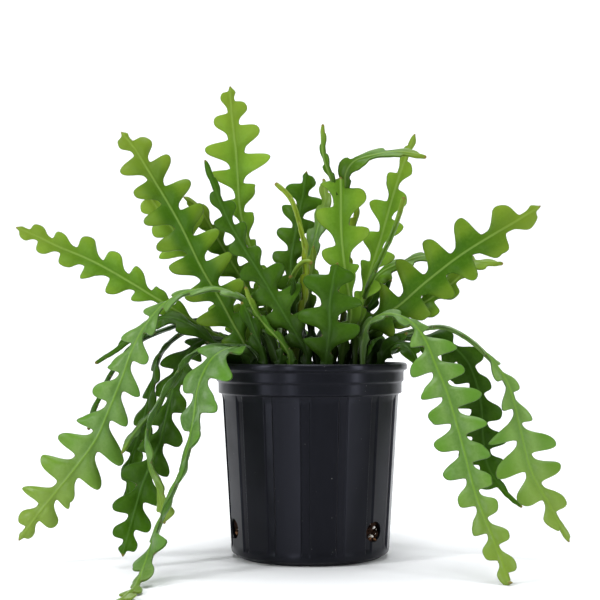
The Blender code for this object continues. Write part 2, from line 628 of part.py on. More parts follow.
def stalk_sections(stem, path):
    """The round foot's sections, six corners each, from the hole up to the blade."""
    sections = []
    end = stem.stalk * MM
    for place in np.linspace(0, end, max(int(round(end / STALK_STEP)), 1), endpoint=False):
        edge = (place, FOOT_STEM_HALF_WIDTH)
        sections.append(section(path, place, edge, edge, FOOT_STEM_RADIUS, FOOT_STEM_RADIUS / 2))
    return sections


def section(path, place, left, right, middle_half, edge_half):
    """Six corners: left, middle and right on the face, then right, middle and left behind."""
    return [
        path.point(left[0], -left[1], edge_half),
        path.point(place, 0, middle_half),
        path.point(right[0], right[1], edge_half),
        path.point(right[0], right[1], -edge_half),
        path.point(place, 0, -middle_half),
        path.point(left[0], -left[1], -edge_half),
    ]


def blade_sections(stem, path, number):
    """The blade's sections, with the lobes of its two edges half a pitch apart."""
    blade = blade_plan(stem, path, number)
    sections = []
    for step in range(blade["count"] + 1):
        place = blade["first"] + step * blade["step"]
        left = edge_point(stem, blade, step, -1)
        right = edge_point(stem, blade, step, 1)
        blend = min(2 * step / len(lobe_corners(stem)), 1) if stem.foot else 1
        middle = FOOT_STEM_RADIUS + blend * (MIDRIB_HALF - FOOT_STEM_RADIUS)
        edge = FOOT_STEM_RADIUS / 2 + blend * (EDGE_HALF - FOOT_STEM_RADIUS / 2)
        sections.append(section(path, place, left, right, middle, edge))
    return sections


def slant(stem, step, hand):
    """Whether a face beside the midrib splits from its near middle to its far edge."""
    return lobe_and_phase(stem, step, hand)[1] != 1


def strip_faces(stem, stalk_count, count):
    """Triangles between the sections, split alike on both faces, and a cap at each end."""
    faces = []
    for row in range(count - 1):
        low = row * 6
        high = low + 6
        step = row - stalk_count
        for near, far, hand in ((1, 0, -1), (1, 2, 1), (4, 5, -1), (4, 3, 1)):
            if slant(stem, step, hand):
                faces.append((low + near, high + near, high + far))
                faces.append((low + near, high + far, low + far))
            else:
                faces.append((low + near, high + near, low + far))
                faces.append((high + near, high + far, low + far))
        for top, under in ((2, 3), (5, 0)):
            faces.append((low + top, high + top, high + under))
            faces.append((low + top, high + under, low + under))
    last = (count - 1) * 6
    for first in (0, last):
        faces.append((first, first + 1, first + 4, first + 5))
        faces.append((first + 1, first + 2, first + 3, first + 4))
    return faces


def stem_object(stem, name, number):
    """A stem or a shoot as one closed object."""
    path = Path(stem)
    stalk = stalk_sections(stem, path)
    sections = stalk + blade_sections(stem, path, number)
    points = [corner for corners in sections for corner in corners]
    return add_object(name, points, strip_faces(stem, len(stalk), len(sections)))


def make_stem(stem, number):
    """A stem with its shoots joined to it."""
    thing = stem_object(stem, stem.name, number)
    if stem.shoots:
        shoots = [stem_object(shoot, "shoot", number + len(STEMS) * (order + 1))
                  for order, shoot in enumerate(stem.shoots)]
        combine(thing, shoots, "UNION", "MANIFOLD")
    return thing


def finish(thing, material):
    """Shade a piece smooth between its creases and give it its material."""
    thing.data.shade_smooth()
    thing.data.set_sharp_from_angle(angle=CREASE_ANGLE)
    thing.data.materials.clear()
    thing.data.materials.append(material)


def main():
    """Make the pot, the mix and the stems, each with its own material."""
    clear_scene()
    finish(make_pot(), plain_material("black_plastic", POT_BLACK, POT_ROUGHNESS))
    finish(make_mix(), plain_material("potting_mix", MIX_BROWN, MIX_ROUGHNESS))
    for number, stem in enumerate(STEMS):
        material = plain_material(stem.name, stem.colour, STEM_ROUGHNESS)
        finish(make_stem(stem, number), material)


if __name__ == "__main__":
    main()
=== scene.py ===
"""The finished look of a potted fishbone cactus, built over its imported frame.

Lengths are in metres, written as millimetres times MM. +Z is up and the front looks along +Y.
Every new surface is a grid of points worked out as whole arrays. A stem is a ring of points
carried along a smooth line, the pot and the potting mix are outlines turned round an upright
axis, and the crumbs, grit, bark and areoles are one small faceted ball, turned and stretched.
"""
import math
from dataclasses import dataclass

import bpy
import numpy as np
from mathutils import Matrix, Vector


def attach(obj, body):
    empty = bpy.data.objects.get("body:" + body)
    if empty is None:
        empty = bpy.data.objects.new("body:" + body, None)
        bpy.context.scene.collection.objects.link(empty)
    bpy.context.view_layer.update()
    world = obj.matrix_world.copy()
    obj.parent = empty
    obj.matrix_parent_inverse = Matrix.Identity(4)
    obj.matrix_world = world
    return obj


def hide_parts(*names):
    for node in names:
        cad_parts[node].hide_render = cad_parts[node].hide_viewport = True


bl_info = {
    "name": "Potted fishbone cactus",
    "version": (1, 0, 0),
    "blender": (4, 5, 0),
    "location": "3D View > Sidebar > Cactus",
    "description": "Dresses a potted fishbone cactus: pot, potting mix, stems and studio",
    "category": "Add Mesh",
}

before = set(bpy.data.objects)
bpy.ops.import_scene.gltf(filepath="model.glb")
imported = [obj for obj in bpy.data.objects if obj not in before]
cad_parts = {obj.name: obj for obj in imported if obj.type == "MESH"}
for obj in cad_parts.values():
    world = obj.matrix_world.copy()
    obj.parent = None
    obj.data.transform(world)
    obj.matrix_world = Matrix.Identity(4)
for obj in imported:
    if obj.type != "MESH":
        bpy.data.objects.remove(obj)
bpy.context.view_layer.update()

MM = 0.001
GAP = 0.3 * MM
BODY = "root"

# The pot
POT_HEIGHT = 166 * MM
RIM_RADIUS = 84 * MM
SHOULDER_RADIUS = 76.6 * MM
SHOULDER_HEIGHT = 140 * MM
FOOT_RADIUS = 68.4 * MM
FOOT_FACE_RADIUS = 61 * MM
POT_WALL = 1.6 * MM
POT_FLOOR = 2 * MM
BY_AXIS = 2 * MM
SHARP_ANGLE = math.radians(50)
FLUTE_COUNT = 15
FLUTE_DEPTH = 1.3 * MM
FIRST_FLUTE = math.radians(-93)
FLUTE_BOTTOM = 8 * MM
FLUTE_FULL = (11.5 * MM, 134 * MM)

# The angles either side of a flute's middle at which its wall is worked out, in degrees: its
# floor, its rounded sides and the panel beyond
FLUTE_HALF = np.array((0, 0.9, 1.8, 2.1, 2.3, 2.5, 2.7, 2.9, 3.1, 3.3, 3.6, 4.4, 6, 7.5, 9, 10.5))
FLUTE_SIDES = (2.2, 3.4)
PANEL_FLATNESS = 0.8

# The collar's bead and bands from the ledge up to the rim: how far each lies inside the
# rim's edge, and its height
COLLAR = (
    (4.7 * MM, SHOULDER_HEIGHT),
    (4.7 * MM, 149.3 * MM),
    (3 * MM, 150.5 * MM),
    (3 * MM, 158.8 * MM),
    (0, 160.6 * MM),
    (0, POT_HEIGHT - 1.6 * MM),
    (1.5 * MM, POT_HEIGHT),
    (3 * MM, POT_HEIGHT - 0.6 * MM),
)
DRAIN_COUNT = 3
DRAIN_HEIGHT = 26 * MM
DRAIN_HALF_WIDTH = 9.5 * MM
DRAIN_HALF_HEIGHT = 8.5 * MM
DRAIN_SIDES = 48
DRAIN_REACH = (-12 * MM, 8 * MM)
FIRST_DRAIN = math.radians(-39)

# The potting mix
MIX_EDGE_HEIGHT = 152 * MM
MIX_TOP = 155 * MM
MIX_SHOULDER = 55 * MM
MIX_DOME = 0.6 * MM
MIX_SPREAD = 2.6 * MM
MIX_SIDE_RINGS = 100
MIX_TOP_RINGS = 84
MIX_SIDES = 400
HOLE_DEPTH = 16 * MM

# The length and the seed of its lumps, its clods and its crumbs, and the crumbs' share of a
# clod's height
MIX_RIPPLES = ((24 * MM, 3), (7 * MM, 4), (3.2 * MM, 5))
CRUMB_SHARE = 0.35
RIPPLE_WAVES = 14
RIPPLE_SPREAD = (0.6, 1.7)
RIPPLE_GAIN = 2.4

# The grains: how far over a drain hole's edge they lie, how each side's stretch varies, how
# far they lie up out of the mix, and how far from the pot's wall
DRAIN_SPREAD = 1.05
GRAIN_STRETCHES = (0.8, 1.25)
GRAIN_LIFT = 0.5
GRAIN_MARGIN = 4 * MM

# Two neighbours of a ball's first twelve points lie closer than this, as a cosine
NEIGHBOUR_COSINE = 0.4

# A stem's line: its foot's radius, the heights over the mix where it stands upright, the lowest
# that its middle and its skin may lie, its points' spacing and how far it is smoothed
FOOT_STEM_RADIUS = 3.4 * MM
UPRIGHT_FROM = -7 * MM
UPRIGHT_TO = 2 * MM
LOWEST_LINE = 2.4 * MM
LOWEST_SKIN = 0.05 * MM
LINE_STEP = 1 * MM
SMOOTHING = 5 * MM

# Its lobes. A stem whose half width is THIN mm at most has small, low lobes. The marks are the
# places where the lobes are counted, and each share is of a pitch or of a half width.
LEAST_HALF_WIDTH = 2.4 * MM
THIN = 10.5
THIN_NOTCH = 0.15
THIN_SHIFT = 0.04
LOBE_VARIATION = 0.09
LOBE_LEAN = 0.045
MOST_LOBES = 32
MARKS = 1501
PROFILE_STEP = 0.15 * MM
PROFILE_POINTS = 97
LOBES_IN = 0.4
LOBES_OUT = 0.5
WIDTH_IN = 0.35
SEED = 11

# Its relief and its ends: how it cups and waves, its veins and notches, and its rounded tip
MOST_CUP = 0.12
WAVE_PITCHES = 1.9
VEIN_SPREAD = 0.07
SWELLING_LEAN = 0.8
NOTCH_SPREAD = 0.05
NOTCH_REACH = 1.6 * MM
STALK_BLEND = 6 * MM
TIP_REACH = 5 * MM
TIP_TURN = 80
TIP_RINGS = 7

# Its areoles: how far inside the margin and past the notch they lie, the pitches left free at
# the blade's two ends, and their sizes
AREOLE_INSET = 0.2 * MM
AREOLE_AHEAD = 0.03
AREOLE_ROOM = (0.4, 0.3)
AREOLE_SIZES = (0.7, 1.2)

# The left and the right edge, and how far ahead the lobes of each one start, in pitches
HAND_LEAD = {-1: 0, 1: 0.5}

# A half blade's columns: how far from the midrib and from the margin they lie, the last in
# margin roundings, and the most of the half width that they take
RIB_COLUMNS = np.array((0, 0.8, 1.7, 3.0)) * MM
RIB_SHARES = np.array((0, 0.2, 0.38, 0.52))
MARGIN_COLUMNS = np.array((1, 0.3, 0))
MARGIN_SHARES = np.array((0.2, 0.06, 0))

# One lobe's edge as (place along the pitch, height from the notch to the lobe's end). A
# square lobe ends across the midrib, and a hooked one leans on over the next notch.
SQUARE_LOBE = np.array([(0, 0), (0.10, 0), (0.20, 0.05), (0.31, 0.22), (0.42, 0.50),
                        (0.52, 0.76), (0.62, 0.93), (0.72, 1), (0.81, 0.99), (0.88, 0.91),
                        (0.925, 0.73), (0.95, 0.48), (0.965, 0.23), (0.985, 0.05), (1, 0)])
HOOKED_LOBE = np.array([(0, 0), (0.10, -0.05), (0.20, -0.02), (0.36, 0.13), (0.50, 0.33),
                        (0.64, 0.56), (0.79, 0.80), (0.94, 0.98), (1.04, 1), (1.09, 0.91),
                        (1.10, 0.75), (1.09, 0.53), (1.04, 0.22), (1.01, 0.03), (1, 0)])

# The middle of the crowded crown, round which the skin is darkened with painted shade
CROWN_SHADE_MIDDLE = np.array((4, 12, 165)) * MM

# The ways that a blade can face
FRONT = (0, -1, 0)
BACK = (0, 1, 0)
UP = (0, 0, 1)
LEFT = (-1, 0, 0)
RIGHT = (1, 0, 0)
UP_FRONT = (0, -0.6, 0.8)
LEFT_FRONT = (-0.7, -0.7, 0)
RIGHT_FRONT = (0.7, -0.7, 0)
UP_LEFT = (-0.6, 0, 0.8)
UP_RIGHT = (0.6, 0, 0.8)

# The sizes of the patterns on the real surfaces, which give the textures' scales
PLASTIC_STREAK = 3.846 * MM
PLASTIC_CLOUD = 22.22 * MM
PLASTIC_GRAIN = 0.3846 * MM
DUST_SPACING = 6.25 * MM
PEAT_CLOD = 3.125 * MM
PEAT_FIBRE = 0.9091 * MM
MINERAL_PIT = 0.7143 * MM
SKIN_CLOUD = 20.83 * MM
SKIN_FLECK = 2.381 * MM
SKIN_PORE = 1.111 * MM
PAPER_TOOTH = 1.111 * MM

# The studio, in metres: the paper's half width, how far back it bends, its bend's radius and
# its rows and columns of points, and what the lights are aimed at
SWEEP_HALF = 3
SWEEP_BACK = 1.6
SWEEP_BEND = 0.5
SWEEP_ROWS = 24
SWEEP_COLUMNS = 25
PLANT_MIDDLE = (0, 0, 0.2)

# The camera: its sensor in millimetres, and its picture and focal length in pixels
SENSOR_WIDTH = 36
PICTURE_WIDTH = 600
FOCAL_PIXELS = 1351

# Each soft box's name, place, what it is aimed at, its width and height, and its watts
SOFT_BOXES = (
    ("key_box", (-1.3, -0.84, 0.9), PLANT_MIDDLE, (0.22, 0.8), 15),
    ("fill_box", (1.24, -0.8, 0.55), PLANT_MIDDLE, (0.14, 1), 9),
    ("front_box", (-0.75, -1.72, 0.5), PLANT_MIDDLE, (0.11, 0.95), 8),
    ("top_box", (0, -0.2, 1.8), PLANT_MIDDLE, (0.7, 0.7), 12),
    ("paper_box", (0, 0.9, 2.3), (0, 2.1, 0.5), (1.6, 1.6), 50),
)


@dataclass
class Stem:
    """A stem: its foot (x, y), its route above the mix, and how its blade runs, in mm.

    widths are half widths, spaced evenly from the start of the blade to its tip, and faces
    are the ways that the blade faces, spaced evenly from the foot to the tip. waist is the
    share of the half width left at a notch. A shoot has no foot: its route starts inside
    the stem that it grew on. skin names the stem's material, and tone is how far the skin
    lies from its darker green to its paler one. ahead is how far its lobes lie ahead of an
    even start, as a share of the pitch, and halves are the shares of the half width that its
    left and right halves have. fullness is how far its lobes fill out beside their notches.
    pace is how closely the lobes follow each other, spaced evenly along the blade. youth is
    how near its end comes to the young growth's colour.
    """

    name: str
    foot: tuple
    route: list
    widths: tuple
    pitch: float
    faces: tuple = (FRONT,)
    hook: float = 0.1
    waist: float = 0.26
    stalk: float = 30
    start: int = 0
    skin: str = "green"
    tone: float = 0.3
    ahead: float = 0
    halves: tuple = (1, 1)
    fullness: float = 0
    pace: tuple = (1, 1)
    youth: float = 1
    shoots: tuple = ()


STEMS = [
    Stem("stem_far_left", (-44, 4), [
        (-62, 8, 178), (-78, 4, 187), (-103, -1, 202.2), (-131.2, -3, 220.3), (-160.5, -4, 238.4),
        (-195.7, -4, 257.3), (-217.1, -5, 265.9), (-238.5, -5, 276.4), (-255, -6, 283)],
        (4.7, 7.1, 6.7, 6.1, 9.4, 12.3, 9, 14.5, 17, 20, 15.1, 22.7, 16.6, 14.3, 12.6, 10, 3.7),
        23.1, (UP_FRONT, UP_FRONT, FRONT, FRONT, FRONT), hook=0.2, waist=0.36, fullness=0.4,
        stalk=52, tone=0.5, ahead=0.82, halves=(0.93, 0.93), pace=(1, 1, 1, 0.91, 1, 1.23)),
    Stem("stem_left_arch", (-26, -32), [
        (-36, -30.5, 192), (-48, -29.5, 211), (-70.9, -33, 226.7), (-97.5, -37, 226.5),
        (-119.1, -42, 217.3), (-133.7, -44, 202), (-148.2, -46, 176.7), (-156.1, -48, 154.4),
        (-166.5, -50, 128.3), (-176.9, -53, 103.2), (-190.3, -56, 84.1), (-222.6, -60, 43.1),
        (-239, -62, 21)],
        (4, 6.5, 9, 9.2, 9.4, 9.1, 9.8, 15.5, 12.1, 18.1, 14.2, 22, 18.1, 20.2, 29.8, 29, 31, 16,
         24, 13, 3), 26.2, (RIGHT_FRONT, (0, -0.3, 0.95), (-0.4, -0.5, 0.75), FRONT, FRONT, FRONT),
        hook=0.5, fullness=0.25, stalk=56, skin="bloom", tone=0.4, ahead=0.93, halves=(0.93, 1),
        pace=(1, 1, 1, 1, 1, 1.35)),
    Stem("stem_tall_left", (-54, -22), [
        (-54, -22, 178), (-65, -19, 198), (-77.3, -15, 220.6), (-91.7, -11, 244.2),
        (-112.1, -7, 285), (-139.7, -3, 331.4), (-154.4, -1, 354.7), (-165, 0, 367)],
        (5.5, 10, 16.6, 22.7, 25.9, 24, 26.5, 25, 27, 24, 25.5, 23.5, 22, 20.7, 19.4, 11.7, 5), 25,
        waist=0.24, fullness=0.2, stalk=28, tone=0, ahead=0.85, halves=(1.07, 1.07),
        pace=(1, 0.93, 1, 1, 1, 1.07)),
    Stem("stem_behind_tall_left", (-50, 16), [
        (-55, 15, 183), (-75.9, 11, 212), (-99.4, 11, 251), (-111.7, 12, 270.9), (-127, 13, 291.4),
        (-145, 14, 318)],
        (3.6, 5.5, 10, 12, 11.2, 12.4, 9.5, 15.5, 24.5, 20.5, 13.5, 14.3, 8.1), 21.8, waist=0.28,
        fullness=0.4, stalk=36, start=2, tone=0.9, ahead=0.98, halves=(1, 1.3),
        pace=(1, 1.07, 1, 1, 1, 0.85)),
    Stem("stem_inner_left", (-30, 4), [
        (-41, 12, 192), (-48, 21, 214), (-62.5, 25, 242.5), (-76.9, 26, 266.1), (-94.5, 26, 295.7),
        (-102.3, 27, 306.4), (-113, 28, 313)],
        (3, 6, 14.5, 16.5, 12.6, 8, 3), 22.1, stalk=40, ahead=0.9, halves=(1.05, 1.05)),
    Stem("stem_top", (-30, 20), [
        (-36, 24, 192), (-40, 28, 224), (-46.5, 30, 249.5), (-57.2, 32, 279.9), (-61.8, 33, 298.2),
        (-64.8, 35, 334.3), (-66.6, 36, 357.9), (-69.3, 37, 380.4), (-72, 38, 414)],
        (4.4, 6.8, 8.3, 10, 9.9, 8.2, 5.2, 5.5, 10.8, 10.4, 15.5, 13.7, 25.9, 30.3, 28, 22.5, 18.3,
         12.1, 4.5), 26.6, waist=0.28, fullness=0.2, stalk=40, start=1, tone=0.77, ahead=0.36,
        halves=(0.93, 1), pace=(0.96, 1.07, 1.07, 1, 1, 1.41)),
    Stem("stem_front_diagonal", (-3, -46), [
        (-3, -46, 175), (-12, -45, 191), (-27.3, -43, 216.3), (-39.7, -41, 237.6), (-55, -39, 262),
        (-72, -37, 293.4), (-77, -36, 305.7), (-89, -34, 338)],
        (5.4, 15.1, 24.8, 25.9, 13, 11.4, 12.6, 4.5, 1.5), 23, stalk=28, skin="deep", tone=0.5,
        ahead=0.7, halves=(1.05, 0.97), shoots=(
            Stem("", None, [
                (-17, -43, 220), (-14, -46, 227), (-13, -50, 235), (-17, -52, 239)],
                (2.4, 2.4), 20, (RIGHT,), stalk=0),)),
    Stem("stem_front_left_short", (-39, -47), [
        (-40, -50, 175), (-47, -55, 192), (-53, -57, 209), (-57, -57, 217)],
        (5, 9, 9, 5), 26, (RIGHT_FRONT,), hook=0, stalk=29, skin="deep"),
    Stem("stem_brown_tipped", (-14, -56), [
        (-17, -58, 176), (-26, -56, 187), (-40, -49, 202), (-46, -47, 210), (-54, -46, 230)],
        (4, 5, 5, 3), 18, (LEFT_FRONT,), tone=0),
    Stem("stem_front_short", (13, -50), [
        (14, -55, 175), (16.5, -55.5, 194), (16.2, -55, 214), (19.9, -52.5, 236.8), (23, -49.5, 250)],
        (5.4, 21.6, 27, 27.6, 23, 11.5), 25.7, hook=-0.1, stalk=28, start=1, skin="deep", tone=0.45,
        ahead=0.94, halves=(1.05, 0.97)),
    Stem("stem_centre", (26, -32), [
        (30, -32, 188), (34.9, -32, 205), (33.1, -32, 221.5), (29.2, -31, 248.1),
        (26.5, -30, 276.6), (26.3, -30, 307.2), (26, -30, 324)],
        (5.5, 7.2, 8.8, 9.4, 10.7, 9.7, 8.3, 17.4, 19.5, 24, 25, 24.8, 24.5, 19.8, 23.8), 32,
        waist=0.3, fullness=-0.2, stalk=40, start=1, tone=0.55, youth=0.6, ahead=0.03,
        halves=(0.92, 1), shoots=(
            Stem("", None, [
                (22, -30, 308), (17.5, -31, 325.6), (13.2, -29, 337.2), (10.9, -29, 352.8),
                (11, -29, 369)],
                (3, 4, 5.4, 4.3, 2.6), 18, (LEFT_FRONT,), stalk=0, ahead=0.35),
            Stem("", None, [
                (31, -30, 314), (31.2, -31, 328.5), (38.2, -33, 336.5), (48.8, -35, 339.2),
                (71.9, -38, 343.1), (98, -40, 339)],
                (3.3, 8.6, 7.7, 7.2, 6.5, 2.6), 28.7, (LEFT_FRONT, UP_FRONT, UP_FRONT), waist=0.38,
                fullness=0.2, stalk=0, ahead=0.16, halves=(1.31, 1.3)))),
    Stem("stem_right_upright", (38, -28), [
        (38, -28, 175), (39, -26, 192), (43.7, -18, 216), (51.3, -8, 243), (63, -1, 279),
        (70.4, 3, 305), (79.7, 5, 334), (92, 7, 366)],
        (4, 5.2, 6.5, 9.7, 13.6, 10.5, 15.5, 19, 14.7, 18.4, 21.4, 15.1, 10.9, 12.5, 6.5, 4.8, 3),
        28, stalk=50, start=1, tone=0.9, ahead=0.3, halves=(0.85, 0.93), pace=(1, 1, 1, 1, 1.07, 1),
        shoots=(
            Stem("", None, [
                (46, -16.6, 221), (50.2, -20, 232.8), (58.2, -23, 250.8), (70.8, -26, 277.2),
                (75.8, -27, 292.1), (80, -28, 307)],
                (3, 9, 10, 9, 7, 2.6), 26, (RIGHT,), stalk=0),)),
    Stem("stem_right_thin_arch", (36, 20), [
        (47, 19, 197), (51.2, 16, 227.8), (59.8, 14, 241.2), (79.2, 12, 251.5), (104.2, 10, 258.5),
        (135.6, 9, 253.3), (169, 8, 252)],
        (4, 8.5, 10.5, 9.7, 5.4, 10.5, 2.8), 24, (UP_FRONT,), waist=0.34, fullness=0.2, stalk=45,
        tone=0.5, ahead=0.31, halves=(0.97, 1.4), pace=(1, 1, 1, 1.07, 1.07, 1.15)),
    Stem("stem_right_reaching", (40, 0), [
        (42, -1, 184), (53, -6, 201), (72, -10, 211.7), (97.1, -14, 233.3), (132.9, -17, 260.9),
        (153.9, -19, 273.9), (185.9, -20, 292.9), (197, -21, 300)],
        (4.4, 12.1, 21.4, 21.1, 25.2, 22.8, 31.5, 24.8, 29.2, 25.7, 24.8, 27.4, 19, 20.9, 16, 10,
         4), 28.8, hook=-0.2, waist=0.24, fullness=0.1, stalk=42, start=2, tone=0.06, ahead=0.53,
        pace=(1, 1, 1, 1, 0.72, 1)),
    Stem("stem_right_lower", (46, 12), [
        (50, 10, 188), (60.1, 7, 194.6), (90.6, 3, 211.1), (105.8, 2, 221.3), (132.9, 0, 243.7),
        (142, 0, 256)],
        (4.4, 6.6, 9.9, 15.2, 19.3, 17.8, 19, 16.1, 13.2, 11.8, 8.3, 7.2, 4), 25.2,
        (FRONT, UP_FRONT, FRONT), fullness=0.6, stalk=46, start=1, tone=0.4, ahead=0.5,
        halves=(1.07, 1), pace=(1, 1, 1, 1, 1.07, 1)),
    Stem("stem_right_front_drooping", (44, -42), [
        (45, -42, 188), (48, -43, 198), (60.9, -46, 206.5), (81.6, -52, 201.5), (94.4, -60, 185.5),
        (101.1, -68, 167.5), (109, -76, 147.6), (120, -92, 107), (130, -110, 63.3),
        (143, -128, 26.7), (152, -147, -4)],
        (4, 5, 6, 7.2, 6.3, 12.9, 20.7, 21.9, 18.2, 24.9, 17.7, 24.8, 17, 20.8, 15.1, 15.4, 10.6,
         13.2, 10.9, 8.9, 3), 23.1, (UP_FRONT, UP_FRONT, (0.2, -0.9, 0.3), FRONT, FRONT, FRONT),
        waist=0.23, fullness=0.5, stalk=48, start=1, skin="bloom", tone=0.42, ahead=0.97,
        halves=(1.07, 1.07)),
    Stem("stem_far_right_drooping", (62, 0), [
        (62, 2, 180), (73, 4, 188), (98.9, 3, 195), (114.6, 1, 197), (129.4, -2, 191),
        (152.1, -8, 172), (168.9, -16, 147), (177.7, -24, 111), (186.4, -31, 74), (201.2, -37, 45),
        (216, -41, 17)],
        (4, 4.5, 5, 5.5, 6, 6, 6, 8.1, 9.7, 8.2, 9.5, 11.9, 14.8, 30.3, 29.8, 31.8, 23.7, 15.5,
         14.2, 5.1, 3), 26.4, (UP_FRONT, UP, UP_RIGHT, FRONT, FRONT, FRONT), hook=0.3, waist=0.2,
        fullness=0.4, stalk=45, skin="bloom", tone=0.72, ahead=0.8, halves=(0.93, 1),
        pace=(1, 1, 1, 1, 1, 0.86)),
    Stem("stem_right_back_drooping", (56, 16), [
        (61, 17, 179), (88, 16, 187), (118, 14, 182.6), (133, 12, 172.6), (147, 8, 139.7),
        (150.3, 4, 99.7), (153.2, 2, 77.7), (170.1, 0, 51.9), (183, -2, 41)],
        (4, 6.3, 8.6, 14.2, 16.9, 13.9, 20.6, 14.1, 15.1, 22.6, 18.1, 23.8, 18.3, 17.5, 6.7, 2, 3),
        24.3, (UP_FRONT, UP_FRONT, FRONT, FRONT, UP_FRONT), hook=-0.1, waist=0.32, fullness=0.3,
        stalk=40, start=2, skin="deep", tone=0.35, ahead=0.96, halves=(0.85, 1.31),
        pace=(1.15, 0.8, 1, 1, 1.07, 1.15)),
    Stem("stem_rim_right_small", (58, -20), [
        (63, -23, 176), (73.5, -30, 181.8), (79.2, -36, 181.1), (84.9, -43, 173.7), (88, -47, 164)],
        (5.5, 9.3, 10.5, 6), 20, (UP_FRONT, RIGHT_FRONT), waist=0.34, fullness=0.8, stalk=34,
        skin="deep", ahead=0.05, halves=(1.22, 1.4)),
    Stem("stem_right_short_brown", (50, -12), [
        (55, -14, 176), (72, -18, 182), (79, -20, 187), (83, -22, 192)],
        (4, 8, 9, 4), 20, skin="deep"),
    Stem("stem_right_thin_upright", (28, 4), [
        (39, 4, 188), (46.1, 3, 207), (55.8, 2, 220), (71, 1, 238)],
        (3.9, 4.8, 5.4, 3.5), 22, (RIGHT_FRONT,), stalk=34, skin="deep", ahead=0.92,
        halves=(1, 1.14)),
    Stem("stem_pale_tip", (18, 14), [
        (27, 14, 197), (32.5, 15, 232), (34.2, 16, 263), (38.9, 16, 287), (42, 16, 306)],
        (3, 4, 4, 5.4, 6.5, 3.5), 24, (RIGHT_FRONT,), stalk=40, skin="young", tone=0.5,
        halves=(1.07, 1.14)),
    Stem("stem_centre_small", (8, -14), [
        (3, -11, 182), (-1.2, -7, 205), (-0.9, -6, 231), (2.8, -5, 256.3), (3, -5, 267)],
        (3.3, 6.5, 8.6, 7.2, 2.6), 22.7, stalk=50, ahead=0.8, halves=(1, 0.91)),
    Stem("stem_centre_pale", (-2, -2), [
        (-6, 2, 192), (-6.8, 5, 218), (-0.8, 6, 249), (8.9, 7, 288), (14.4, 8, 308), (12, 9, 327)],
        (3, 6, 7.6, 7.7, 9.5, 7.5, 3.9), 22, (LEFT_FRONT,), waist=0.38, fullness=0.4, stalk=50,
        skin="bloom", ahead=0.56, halves=(1.15, 1.06)),
    Stem("stem_centre_back", (-10, 12), [
        (-10, 13, 197), (-13.1, 14, 223), (-16.6, 15, 245), (-12, 17, 283), (-5, 19, 318),
        (-3, 20, 335)],
        (4, 7, 10, 13.1, 16.2, 19.6, 17.3, 18.7, 15.9, 15.4, 19.2, 12.7, 3.3), 20.5, fullness=0.2,
        stalk=44, start=1, skin="deep", tone=0.75, ahead=0.8, halves=(1.05, 1.05)),
    Stem("stem_centre_yellow", (-14, -22), [
        (-12, -24, 185), (-8, -24, 205), (-4.5, -23, 238.5), (-3.9, -22, 254.1), (-9.3, -20, 286),
        (-18.6, -18, 310), (-30, -17, 320)],
        (4, 7, 8, 9, 8, 6, 3), 22, (RIGHT_FRONT, RIGHT), stalk=44, skin="young", tone=0.6, ahead=0.3),
    Stem("stem_centre_curled", (-24, -14), [
        (-22, -18, 190), (-20, -23, 215), (-16, -28, 236), (-10, -30, 248), (-3, -32, 254),
        (2, -34, 250)],
        (3, 7, 7, 5, 3), 22, (LEFT_FRONT, UP_LEFT, UP), stalk=44),
    Stem("stem_left_low_arch", (-42, -13), [
        (-59, -13, 177), (-78.9, -16, 179.9), (-100.1, -16, 195.6), (-123.2, -15, 204.4),
        (-147.3, -13, 190.5), (-170.6, -11, 174.3), (-185, -10, 165)],
        (3.6, 7.7, 10.5, 10.5, 6.4, 3.4, 2.4), 27.8, (UP_FRONT,), waist=0.34, fullness=0.4,
        stalk=64, skin="deep", tone=0.5, ahead=0.74, halves=(1.31, 1.14),
        pace=(0.67, 0.85, 1.15, 1.23, 1.07, 1)),
    Stem("stem_left_back_thin", (-42, 30), [
        (-58, 28, 188), (-77, 24, 201), (-101, 21, 203), (-124.1, 18, 195.8), (-156, 14, 180.2),
        (-174.2, 10, 155.8), (-186.6, 6, 128.4), (-193, 4, 107)],
        (4, 7, 8, 7, 6, 5, 6, 3.2), 28, (RIGHT_FRONT, UP, UP_LEFT, LEFT_FRONT), stalk=50,
        skin="deep", tone=0.1, ahead=0.8),
    Stem("stem_left_back_drooping", (-55, 26), [
        (-61, 24, 182), (-74, 20, 188), (-90, 15, 192.6), (-104, 10, 194.4), (-119, 4, 186.2),
        (-129, -1, 175), (-135.2, -11, 143.9), (-143.5, -23, 107), (-151.7, -32, 77.9),
        (-151, -41, 41)],
        (3.4, 5.5, 8, 11, 13, 13.5, 13, 10.5, 6), 25,
        (RIGHT_FRONT, UP, UP_LEFT, LEFT_FRONT, LEFT_FRONT), hook=0, waist=0.3, fullness=0.4,
        stalk=52, skin="deep", ahead=0.06, halves=(1.2, 1.07), pace=(0.85, 1, 1, 1, 1.07, 1)),
    Stem("stem_left_wide_drooping", (-58, -2), [
        (-64, -5, 179), (-77, -7, 184), (-89.9, -10, 184.2), (-100.6, -17, 178.8),
        (-107.4, -25, 167.2), (-116.1, -39, 136.8), (-119.2, -44, 121.7), (-124.6, -50, 101),
        (-138.2, -60, 64.3), (-143.6, -66, 42.6), (-152, -74, 10)],
        (5.5, 9.1, 12.4, 18.7, 24.6, 15.4, 14.3, 17.4, 18.3, 13.7, 17.5, 18.4, 18.4, 18.7, 15.6,
         11.8, 5.6), 26, (RIGHT_FRONT, UP_FRONT, (-0.3, -0.9, 0.2), FRONT, FRONT), hook=0.3,
        waist=0.28, fullness=0.4, stalk=62, skin="deep", ahead=0.68, halves=(1, 1.07),
        pace=(1.15, 1, 1, 1, 1, 1.6)),
    Stem("stem_left_edge_on", (-40, -28), [
        (-50, -29, 177), (-60, -31, 179), (-85, -37, 180.1), (-99, -45, 172.7), (-112, -53, 153.3),
